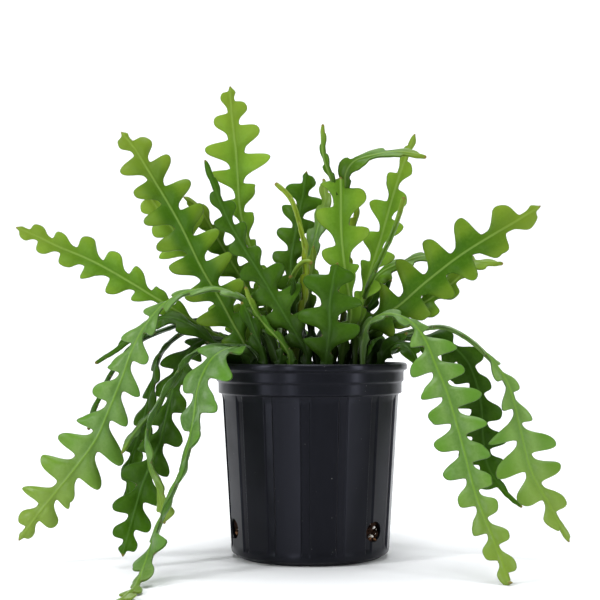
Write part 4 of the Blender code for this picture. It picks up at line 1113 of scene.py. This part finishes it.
def stem_skin(stem, number, look):
    """A stem's points, its rings' shape and the values at its points, without its shoots."""
    blade = Blade(stem, number)
    places, tip = blade.rows(look)
    left, right = (half_blade(blade, places, tip, hand, look) for hand in HAND_LEAD)
    rings = round_trip(left, right)
    values = {}
    for key in left[2]:
        ring = round_trip((left[2][key],) * 2, (right[2][key],) * 2)
        ends = [ring[row].max(keepdims=True) for row in (0, -1)]
        values[key] = np.concatenate((ring.ravel(), *ends))
    return np.vstack((rings.reshape(-1, 3), blade.line[[0, -1]])), rings.shape[:2], values


def make_stem(stem, number, look):
    """A stem and the shoots that grew on it, as one object."""
    skins = [stem_skin(part, own, look) for part, own in parts_of(stem, number)]
    faces, offset = [], 0
    for points, (rows, sides), _ in skins:
        faces.append(ring_faces(rows, sides, offset))
        offset += len(points)
    points = np.vstack([skin[0] for skin in skins])
    points[:, 2] = np.maximum(points[:, 2], LOWEST_SKIN)
    values = {key: np.concatenate([skin[2][key] for skin in skins]) for key in skins[0][2]}
    quads, fans = (np.vstack(kind) for kind in zip(*faces))
    return mesh_object(stem.name + "_skin", points, quads, fans, values)


def areole_spots(stem, number):
    """The places at a stem's notches, where its areoles sit.

    They lie a little inside the margin, just past the start of each lobe, and leave some room
    at the blade's two ends.
    """
    blade = Blade(stem, number)
    spots = []
    low, high = AREOLE_ROOM
    for hand, ahead in HAND_LEAD.items():
        places = blade.place_of(np.arange(MOST_LOBES) - blade.lead - ahead + AREOLE_AHEAD)
        places = places[(places > blade.first + low * blade.pitch)
                        & (places < blade.length - high * blade.pitch)]
        place, width, _, _ = blade.edge(places, hand)
        spots.append(blade.at(place, (width - AREOLE_INSET) * hand, np.zeros(len(place))))
    return np.vstack(spots)


def make_areoles(look):
    """The small felted cushions in the notches of every stem, as one piece."""
    centres = np.vstack([areole_spots(*part) for number, stem in enumerate(STEMS)
                         for part in parts_of(stem, number)])
    draw = np.random.default_rng(SEED)
    sizes = look.areole_radius * draw.uniform(*AREOLE_SIZES, (len(centres), 3))
    return scattered("areoles", ball(0), centres, sizes, turns_of(draw, len(centres)), draw, 0.15)


def feed(tree, node, inputs):
    """Give a node's inputs their values, or link them to the sockets given for them."""
    for key, value in inputs.items():
        if isinstance(value, bpy.types.NodeSocket):
            tree.links.new(value, node.inputs[key])
        else:
            node.inputs[key].default_value = value


def add_node(tree, kind, inputs, **settings):
    """Add a node, set its properties and feed its inputs. Returns its outputs."""
    node = tree.nodes.new("ShaderNode" + kind)
    for key, value in settings.items():
        setattr(node, key, value)
    feed(tree, node, inputs)
    return node.outputs


def new_material(name, values):
    """A material with its shader's values set. Returns it, its tree, its shader and the place."""
    material = bpy.data.materials.new(name)
    material.use_nodes = True
    tree = material.node_tree
    shader = tree.nodes["Principled BSDF"]
    feed(tree, shader, values)
    return material, tree, shader, add_node(tree, "TexCoord", {})["Object"]


def moulded_plastic(pot):
    """Injection-moulded black polypropylene: satin, faintly streaked down the wall, a little dusty.

    The eye reads soft upright reflections in the flutes and a fine tool grain close up.
    """
    material, tree, shader, place = new_material("moulded_polypropylene", {
        "Metallic": 0, "IOR": 1.49, "Specular IOR Level": 0.23, "Specular Tint": pot.sheen_colour,
        "Anisotropic": 0.85, "Anisotropic Rotation": 0.25})
    around = add_node(tree, "Tangent", {}, direction_type="RADIAL", axis="Z")[0]
    drawn = add_node(tree, "Mapping", {"Vector": place, "Scale": (1, 1, 0.08)})[0]
    streak = add_node(tree, "TexNoise", {"Vector": drawn, "Scale": 1 / PLASTIC_STREAK,
                                         "Detail": 3, "Roughness": 0.6})[0]
    cloud = add_node(tree, "TexNoise", {"Vector": place, "Scale": 1 / PLASTIC_CLOUD, "Detail": 5})[0]
    grain = add_node(tree, "TexNoise", {"Vector": place, "Scale": 1 / PLASTIC_GRAIN, "Detail": 1})[0]
    dust = add_node(tree, "TexVoronoi", {"Vector": place, "Scale": 1 / DUST_SPACING})["Distance"]
    fleck = add_node(tree, "MapRange", {"Value": dust, "From Min": 0.10, "From Max": 0.04})[0]
    patch = add_node(tree, "MapRange", {"Value": cloud, "From Min": 0.52, "From Max": 0.72})[0]
    dusty = add_node(tree, "Math", {0: fleck, 1: patch}, operation="MULTIPLY")[0]
    body = add_node(tree, "Mix", {0: streak, 6: pot.colour, 7: pot.worn_colour},
                    data_type="RGBA")[2]
    whole = add_node(tree, "Mix", {0: dusty, 6: body, 7: pot.dust_colour}, data_type="RGBA")[2]
    gloss = add_node(tree, "MapRange", {"Value": cloud, "From Min": 0.3, "From Max": 0.7,
                                        "To Min": 0.32, "To Max": 0.42})[0]
    height = add_node(tree, "Math", {0: grain, 1: streak}, operation="ADD")[0]
    bump = add_node(tree, "Bump", {"Height": height, "Strength": 0.12, "Distance": 0.15 * MM})[0]
    feed(tree, shader, {"Tangent": around, "Base Color": whole, "Roughness": gloss, "Normal": bump})
    return material


def peat(name, dark, light):
    """Damp sphagnum peat: crumbs from near black to red-brown, quite matt.

    The eye reads many small clods of differing brown with dark gaps between them.
    """
    material, tree, shader, place = new_material(name, {
        "Metallic": 0, "IOR": 1.4, "Roughness": 0.93, "Specular IOR Level": 0.2})
    clod = add_node(tree, "TexNoise", {"Vector": place, "Scale": 1 / PEAT_CLOD, "Detail": 4,
                                       "Roughness": 0.7})[0]
    share = add_node(tree, "MapRange", {"Value": clod, "From Min": 0.36, "From Max": 0.66})[0]
    colour = add_node(tree, "Mix", {0: share, 6: dark, 7: light}, data_type="RGBA")[2]
    fibre = add_node(tree, "TexNoise", {"Vector": place, "Scale": 1 / PEAT_FIBRE, "Detail": 3})[0]
    bump = add_node(tree, "Bump", {"Height": fibre, "Strength": 0.8, "Distance": 0.6 * MM})[0]
    feed(tree, shader, {"Base Color": colour, "Normal": bump})
    return material


def mineral(name, pale, dull, roughness):
    """A dry grain whose colour runs between two tones from piece to piece.

    The eye reads a pitted, matt crumb beside others a little darker or paler.
    """
    material, tree, shader, place = new_material(name, {"Metallic": 0, "IOR": 1.5,
                                                        "Roughness": roughness})
    own = add_node(tree, "Attribute", {}, attribute_name="shade")["Fac"]
    pits = add_node(tree, "TexNoise", {"Vector": place, "Scale": 1 / MINERAL_PIT, "Detail": 2})[0]
    share = add_node(tree, "Math", {0: pits, 1: 0.6, 2: own}, operation="MULTIPLY_ADD",
                     use_clamp=True)[0]
    colour = add_node(tree, "Mix", {0: share, 6: dull, 7: pale}, data_type="RGBA")[2]
    bump = add_node(tree, "Bump", {"Height": pits, "Strength": 0.6, "Distance": 0.3 * MM})[0]
    feed(tree, shader, {"Base Color": colour, "Normal": bump})
    return material


def cactus_skin(name, base, pale, rib, margin, film, shade, tip, look):
    """Living cactus skin: thick, waxy and satin, with a paler rib, thin margins and a dull film.

    The eye reads a soft sheen over mottled green, a line down the middle with painted shade
    beside it, lighter lobes with a thin dark rim of painted shade, brown felt in the notches,
    tips that turn yellow and then brown, painted shade over each blade's first lobes and its
    stalk, and more painted shade deep in the crowded crown. base and pale are the two greens
    that mottle it, film is how much grey-green wax lies on it, shade is how strong the painted
    shade over a blade's first lobes is, and rib, margin and tip are their own colours.
    """
    material, tree, shader, place = new_material(name, {"Metallic": 0, "IOR": 1.42,
                                                        "Specular IOR Level": 0.07 + film})
    cloud = add_node(tree, "TexNoise", {"Vector": place, "Scale": 1 / SKIN_CLOUD, "Detail": 4,
                                        "Roughness": 0.6})[0]
    fine = add_node(tree, "TexNoise", {"Vector": place, "Scale": 1 / SKIN_FLECK, "Detail": 3})[0]
    own = add_node(tree, "Attribute", {}, attribute_name="tone")["Fac"]
    fleck = add_node(tree, "Math", {0: fine, 1: look.fleck, 2: own}, operation="MULTIPLY_ADD")[0]
    mottle = add_node(tree, "Math", {0: cloud, 1: look.mottle, 2: fleck},
                      operation="MULTIPLY_ADD")[0]
    middle = (look.fleck + look.mottle) / 2
    share = add_node(tree, "MapRange", {"Value": mottle, "From Min": middle,
                                        "From Max": middle + 1})[0]
    colour = add_node(tree, "Mix", {0: share, 6: base, 7: pale}, data_type="RGBA")[2]
    dull = add_node(tree, "MapRange", {"Value": fine, "From Min": 0.3, "From Max": 0.7,
                                       "To Min": film * 0.5, "To Max": film})[0]
    colour = add_node(tree, "Mix", {0: dull, 6: colour, 7: look.film_colour}, data_type="RGBA")[2]

    # Each band's value at the skin, where it starts and is full, its strength and its paint.
    # Along and notch are shares, and the others are millimetres. The first band is painted shade
    # beside the midrib. The thin dark rim, the dark first lobes and the dark crown are painted
    # shade too.
    bands = (("midrib", 9, 1.5, 0.4, base),
             ("midrib", 7, 18, 0.28 + film * 2, margin),
             ("margin", 0.8, 0.3, 0.5, look.painted_shade_colour),
             ("midrib", 1.3, 0.4, 0.46, rib),
             ("along", 0.62, 1.0, 0.7, tip),
             ("end", 3.2, 0.6, 0.85, look.dry_colour),
             ("height", 50, -22, shade, look.painted_shade_colour),
             ("height", -16, -34, 0.5, look.base_colour),
             ("crown", 84, 38, 0.92, look.crown_shade_colour),
             ("notch", 0.5, 0.95, 0.35, look.felt_colour))
    for key, start, full, strength, paint in bands:
        read = add_node(tree, "Attribute", {}, attribute_name=key)["Fac"]
        band = add_node(tree, "MapRange", {"Value": read, "From Min": start, "From Max": full,
                                           "To Max": strength}, interpolation_type="SMOOTHSTEP")[0]
        colour = add_node(tree, "Mix", {0: band, 6: colour, 7: paint}, data_type="RGBA")[2]
    gloss = add_node(tree, "MapRange", {"Value": fine, "From Min": 0.3, "From Max": 0.7,
                                        "To Min": 0.28, "To Max": 0.42})[0]
    pores = add_node(tree, "TexVoronoi", {"Vector": place, "Scale": 1 / SKIN_PORE})["Distance"]
    skin = add_node(tree, "Math", {0: pores, 1: 0.25, 2: fine}, operation="MULTIPLY_ADD")[0]
    bump = add_node(tree, "Bump", {"Height": skin, "Strength": 0.35, "Distance": 0.35 * MM})[0]
    feed(tree, shader, {"Base Color": colour, "Roughness": gloss, "Normal": bump})
    return material


def studio_paper(colour):
    """Seamless studio paper: one even tone with the faintest tooth."""
    material, tree, shader, place = new_material("studio_paper", {
        "Base Color": colour, "Roughness": 0.85, "Specular IOR Level": 0.25})
    tooth = add_node(tree, "TexNoise", {"Vector": place, "Scale": 1 / PAPER_TOOTH})[0]
    bump = add_node(tree, "Bump", {"Height": tooth, "Strength": 0.05, "Distance": 0.1 * MM})[0]
    feed(tree, shader, {"Normal": bump})
    return material


def aimed(name, data, place, aim):
    """A lamp or camera at a place, turned towards what it is aimed at."""
    thing = bpy.data.objects.new(name, data)
    thing.location = place
    thing.rotation_euler = (Vector(aim) - Vector(place)).to_track_quat("-Z", "Y").to_euler()
    bpy.context.scene.collection.objects.link(thing)
    return thing


def soft_light(name, place, aim, size, power, colour):
    """A soft box of a width and a height."""
    light = bpy.data.lights.new(name, "AREA")
    light.shape = "RECTANGLE"
    light.size, light.size_y = size
    light.energy = power
    light.color = colour[:3]
    aimed(name, light, place, aim)


def make_sweep(stage):
    """A sheet of studio paper: level under the plant, then a quarter circle up to a wall."""
    level = np.zeros((SWEEP_ROWS, 2))
    level[:, 0] = np.linspace(-SWEEP_HALF, SWEEP_BACK, SWEEP_ROWS)
    turn = np.linspace(0, math.pi / 2, SWEEP_ROWS)[1:]
    bend = np.stack((SWEEP_BACK + SWEEP_BEND * np.sin(turn),
                     SWEEP_BEND - SWEEP_BEND * np.cos(turn)), axis=1)
    heights = np.linspace(SWEEP_BEND, SWEEP_HALF, SWEEP_ROWS // 2 + 1)[1:]
    wall = np.stack((np.full(len(heights), SWEEP_BACK + SWEEP_BEND), heights), axis=1)
    profile = np.vstack((level, bend, wall))
    points = np.empty((len(profile), SWEEP_COLUMNS, 3))
    points[..., 0] = np.linspace(-SWEEP_HALF, SWEEP_HALF, SWEEP_COLUMNS)
    points[..., 1:] = profile[:, None]
    index = np.arange(points[..., 0].size).reshape(points.shape[:2])
    quads = np.stack((index[:-1, :-1], index[:-1, 1:], index[1:, 1:], index[1:, :-1]), axis=-1)
    sheet = mesh_object("paper_sweep", points.reshape(-1, 3), quads.reshape(-1, 4),
                        np.zeros((0, 3), int))
    sheet.data.materials.append(studio_paper(stage.paper_colour))


def make_camera(stage):
    """The camera, nearly level with the middle of the plant and looking very slightly up."""
    camera = bpy.data.cameras.new("camera")
    camera.sensor_width = SENSOR_WIDTH
    camera.lens = stage.lens
    camera.clip_end = 20
    bpy.context.scene.camera = aimed("camera", camera, stage.camera_place, stage.camera_aim)


def length(name, description, default):
    """A length that a user can change."""
    return bpy.props.FloatProperty(name=name, description=description, default=default,
                                   unit="LENGTH", precision=5)


def amount(name, description, default):
    """A plain number, never below 0, that a user can change."""
    return bpy.props.FloatProperty(name=name, description=description, default=default, min=0)


def whole(name, description, default):
    """A whole number from 8 up that a user can change."""
    return bpy.props.IntProperty(name=name, description=description, default=default, min=8)


def tone(name, description, code):
    """A colour that a user can change, given as an sRGB hex value."""
    return bpy.props.FloatVectorProperty(name=name, description=description, subtype="COLOR",
                                         size=4, min=0, max=1, default=linear(code))


class PotSettings(bpy.types.PropertyGroup):
    """Sizes and colours of the pot."""

    flute_depth: length("Flute depth", "How far a flute lies below the wall", FLUTE_DEPTH)
    corner_radius: length("Corner rounding", "How far a corner of the section is rounded", 1.1 * MM)
    colour: tone("Plastic", "The plastic's own colour", "#090a0c")
    worn_colour: tone("Streaks", "The streaks down the wall", "#101115")
    sheen_colour: tone("Sheen", "The tint of its reflections", "#dadcf4")
    dust_colour: tone("Dust", "Flecks of dust", "#6f6f6c")


class MixSettings(bpy.types.PropertyGroup):
    """Sizes and colours of the potting mix."""

    lump_height: length("Lump height", "How far broad lumps stand out", 1.6 * MM)
    clod_height: length("Clod height", "How far small clods stand out", 1.5 * MM)
    dark_colour: tone("Dark peat", "The peat in its gaps", "#120b07")
    light_colour: tone("Light peat", "The peat on its clods", "#3a2417")
    grit_colour: tone("Perlite", "The white grit", "#f4f2ec")
    grit_shade: tone("Dusty perlite", "Grit with peat dust on it", "#b9ad9b")
    bark_colour: tone("Bark", "The lighter bark chips", "#8a5f3c")
    bark_shade: tone("Dark bark", "The darker bark chips", "#3d2617")


class StemSettings(bpy.types.PropertyGroup):
    """Sizes and colours of the stems."""

    midrib_height: length("Midrib height", "How far the rib stands out of the blade", 1.0 * MM)
    midrib_width: length("Midrib width", "Half the rib's width", 0.85 * MM)
    vein_height: length("Vein height", "How far a side vein stands out", 0.25 * MM)
    swelling: length("Swelling", "How far a broad lobe swells between its veins", 2.3 * MM)
    swelling_width: length("Swelling width", "The half width from which it swells fully", 16 * MM)
    flare: amount("Flare", "How much the stalk widens upwards", 0.7)
    middle_half: length("Half thickness", "Half the blade's thickness by the rib", 1.15 * MM)
    edge_half: length("Half margin", "Half the blade's thickness by its margin", 0.8 * MM)
    margin_radius: length("Margin rounding", "How wide the rounded margin is", 0.9 * MM)
    tip_half: length("Tip", "The half width of the small blunt tip", 1.5 * MM)
    tip_taper: length("Tip taper", "How far from its end a blade starts to narrow", 9 * MM)
    wave: amount("Wave", "How far a half waves, as a share", 0.09)
    curl: amount("Curl", "How far each lobe curls by itself", 0.16)
    lobe_tone: amount("Lobe tone", "How far the lobes' greens differ", 0.14)
    mottle: amount("Mottle", "How far the green drifts over a blade", 0.5)
    fleck: amount("Fleck", "How far the green changes in flecks", 0.3)
    stalk_step: length("Stalk step", "The space between the stalk's rings", 3 * MM)
    lobe_rows: whole("Rings a lobe", "Rings in each lobe", 24)
    thin_rows: whole("Rings a thin lobe", "Rings in a thin lobe", 16)
    areole_radius: length("Areole radius", "The size of a notch's felted cushion", 0.5 * MM)
    green: tone("Mid green", "Full-grown stems", "#3a610a")
    green_pale: tone("Light mid green", "Full-grown stems where they are paler", "#76a02c")
    # The deep greens are a darker copy of the mid greens for stems that stand in shade: painted shade
    deep: tone("Deep green", "Shaded stems", "#1f3d06")
    shaded_green_pale: tone("Light deep green", "Shaded stems where they are paler", "#4a7018")
    old: tone("Old green", "Old drooping stems", "#3e671e")
    old_pale: tone("Light old green", "Old drooping stems where they are paler", "#80a54a")
    young: tone("Young green", "Young stems", "#6d8c14")
    young_pale: tone("Light young green", "Young stems where they are paler", "#a2b430")
    film_colour: tone("Wax film", "The dull film on old skin", "#8aa672")
    margin_colour: tone("Margin", "The lobes' outer parts", "#8aa632")
    old_margin: tone("Old margin", "The lobes' outer parts on old stems", "#53841c")
    rib_colour: tone("Midrib", "The line down an upright stem", "#8fae55")
    old_rib_colour: tone("Old midrib", "The line down an old stem", "#4a6f2c")
    tip_colour: tone("Tips", "The last lobes of a stem", "#7d9430")
    dry_colour: tone("Dry tips", "The very end of a stem", "#7a6632")
    # Painted shade: it darkens a blade's first lobes and its stalk, and draws the thin dark rim along
    # its margins
    painted_shade_colour: tone("Old skin", "A blade's first lobes, which are its oldest", "#1a2e08")
    # Painted shade deep inside the crowded crown
    crown_shade_colour: tone("Crown", "The skin deep inside the crowded crown", "#0f1c06")
    base_colour: tone("Foot", "The woody foot of a stem", "#3a3a18")
    felt_colour: tone("Felt", "The felt in the notches", "#80704a")


class StageSettings(bpy.types.PropertyGroup):
    """The paper, lights and camera."""

    paper_colour: tone("Paper", "The studio paper", "#fafafb")
    light_colour: tone("Light", "The soft boxes' light", "#fbfdff")
    sky_strength: amount("Sky", "Strength of the even light", 0.08)
    lens: amount("Lens", "Focal length in millimetres",
                 SENSOR_WIDTH * FOCAL_PIXELS / PICTURE_WIDTH)
    camera_place: bpy.props.FloatVectorProperty(name="Camera", description="Where it stands",
                                                default=(0, -1.173, 0.188), unit="LENGTH")
    camera_aim: bpy.props.FloatVectorProperty(name="Aim", description="What it looks at",
                                              default=(-0.0087, 0, 0.2201), unit="LENGTH")


class CACTUS_OT_pot(bpy.types.Operator):
    """Make the fluted pot"""

    bl_idname = "cactus.pot"
    bl_label = "Make the pot"

    def execute(self, context):
        pot = context.scene.cactus_pot
        settle(make_pot(pot), moulded_plastic(pot), "pot_plastic", "pot")
        return {"FINISHED"}


class CACTUS_OT_mix(bpy.types.Operator):
    """Make the plug of potting mix"""

    bl_idname = "cactus.mix"
    bl_label = "Make the potting mix"

    def execute(self, context):
        mix = context.scene.cactus_mix
        material = peat("damp_peat", mix.dark_colour, mix.light_colour)
        settle(make_mix(mix), material, "potting_mix", "potting_mix")
        return {"FINISHED"}


class CACTUS_OT_grains(bpy.types.Operator):
    """Scatter peat crumbs, perlite and bark over the mix and in the drain holes"""

    bl_idname = "cactus.grains"
    bl_label = "Scatter crumbs, perlite and bark"

    def execute(self, context):
        mix = context.scene.cactus_mix

        # Each kind's name, seed, number on top and in the drain holes, least and most length,
        # three stretches, halvings of the ball, dents and material
        kinds = (
            ("peat_crumbs", 21, 2600, 240, (1.2, 5), (1, 0.8, 0.65), 0, 0.22,
             peat("crumbled_peat", mix.dark_colour, mix.light_colour)),
            ("perlite_grit", 22, 300, 26, (1.1, 3.6), (1, 0.85, 0.75), 1, 0.12,
             mineral("expanded_perlite", mix.grit_colour, mix.grit_shade, 0.8)),
            ("bark_chips", 23, 150, 8, (3, 9), (1, 0.45, 0.22), 0, 0.2,
             mineral("composted_bark", mix.bark_colour, mix.bark_shade, 0.85)),
        )
        for name, number, top, drains, sizes, stretch, halvings, dents, material in kinds:
            sizes = tuple(size * MM for size in sizes)
            grains = make_grains(name, number, mix, top, drains, sizes, stretch, halvings, dents)
            settle(grains, material, "potting_mix")
        return {"FINISHED"}


class CACTUS_OT_stems(bpy.types.Operator):
    """Make the lobed stems with their shoots"""

    bl_idname = "cactus.stems"
    bl_label = "Make the stems"

    def execute(self, context):
        look = context.scene.cactus_stems

        # A skin's slot and material, its two greens, rib, margin, film, painted shade and tips
        kinds = {
            "green": ("green_stem", "waxy_green_skin", look.green, look.green_pale,
                      look.rib_colour, look.margin_colour, 0.03, 0.85, look.tip_colour),
            # The deep skin is the shaded copy of the green skin: painted shade
            "deep": ("deep_green_stem", "waxy_shaded_skin", look.deep, look.shaded_green_pale,
                     look.old_rib_colour, look.green, 0.02, 0.85, look.green),
            "bloom": ("blue_green_stem", "waxy_old_skin", look.old, look.old_pale,
                      look.green_pale, look.old_margin, 0.2, 0.7, look.tip_colour),
            "young": ("young_stem", "waxy_young_skin", look.young, look.young_pale,
                      look.rib_colour, look.young_pale, 0.02, 0.3, look.tip_colour),
        }
        skins = {key: (slot, cactus_skin(*kind, look)) for key, (slot, *kind) in kinds.items()}
        for number, stem in enumerate(STEMS):
            slot, material = skins[stem.skin]
            settle(make_stem(stem, number, look), material, slot, stem.name)
        return {"FINISHED"}


class CACTUS_OT_areoles(bpy.types.Operator):
    """Make the felted cushions in the stems' notches"""

    bl_idname = "cactus.areoles"
    bl_label = "Make the areoles"

    def execute(self, context):
        look = context.scene.cactus_stems
        material = mineral("areole_felt", look.felt_colour, look.base_colour, 0.95)
        settle(make_areoles(look), material, "green_stem")
        return {"FINISHED"}


class CACTUS_OT_stage(bpy.types.Operator):
    """Make the paper sweep, the soft lights and the camera"""

    bl_idname = "cactus.stage"
    bl_label = "Make the stage"

    def execute(self, context):
        stage = context.scene.cactus_stage
        make_sweep(stage)
        for name, place, aim, size, power in SOFT_BOXES:
            soft_light(name, place, aim, size, power, stage.light_colour)
        world = bpy.data.worlds.new("even_light")
        world.use_nodes = True
        sky = world.node_tree.nodes["Background"]
        sky.inputs["Color"].default_value = (1, 1, 1, 1)
        sky.inputs["Strength"].default_value = stage.sky_strength
        context.scene.world = world
        context.scene.view_settings.view_transform = "Standard"
        make_camera(stage)
        return {"FINISHED"}


SETTINGS = {"cactus_pot": PotSettings, "cactus_mix": MixSettings, "cactus_stems": StemSettings,
            "cactus_stage": StageSettings}
OPERATORS = (CACTUS_OT_pot, CACTUS_OT_mix, CACTUS_OT_grains, CACTUS_OT_stems,
             CACTUS_OT_areoles, CACTUS_OT_stage)


class CACTUS_PT_panel(bpy.types.Panel):
    """The cactus's operators and settings"""

    bl_idname = "CACTUS_PT_panel"
    bl_label = "Potted fishbone cactus"
    bl_space_type = "VIEW_3D"
    bl_region_type = "UI"
    bl_category = "Cactus"

    def draw(self, context):
        for operator in OPERATORS:
            self.layout.operator(operator.bl_idname)
        for name, group in SETTINGS.items():
            box = self.layout.box()
            for key in group.__annotations__:
                box.prop(getattr(context.scene, name), key)


def register():
    """Register the classes and hang the settings on the scene."""
    for group in (*SETTINGS.values(), *OPERATORS, CACTUS_PT_panel):
        bpy.utils.register_class(group)
    for name, group in SETTINGS.items():
        setattr(bpy.types.Scene, name, bpy.props.PointerProperty(type=group))


def unregister():
    """Take the settings off the scene and drop the classes."""
    for name in SETTINGS:
        delattr(bpy.types.Scene, name)
    for group in reversed((*SETTINGS.values(), *OPERATORS, CACTUS_PT_panel)):
        bpy.utils.unregister_class(group)


def main():
    """Register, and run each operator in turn."""
    register()
    bpy.ops.cactus.pot()
    bpy.ops.cactus.mix()
    bpy.ops.cactus.grains()
    bpy.ops.cactus.stems()
    bpy.ops.cactus.areoles()
    bpy.ops.cactus.stage()


if __name__ == "__main__":
    main()
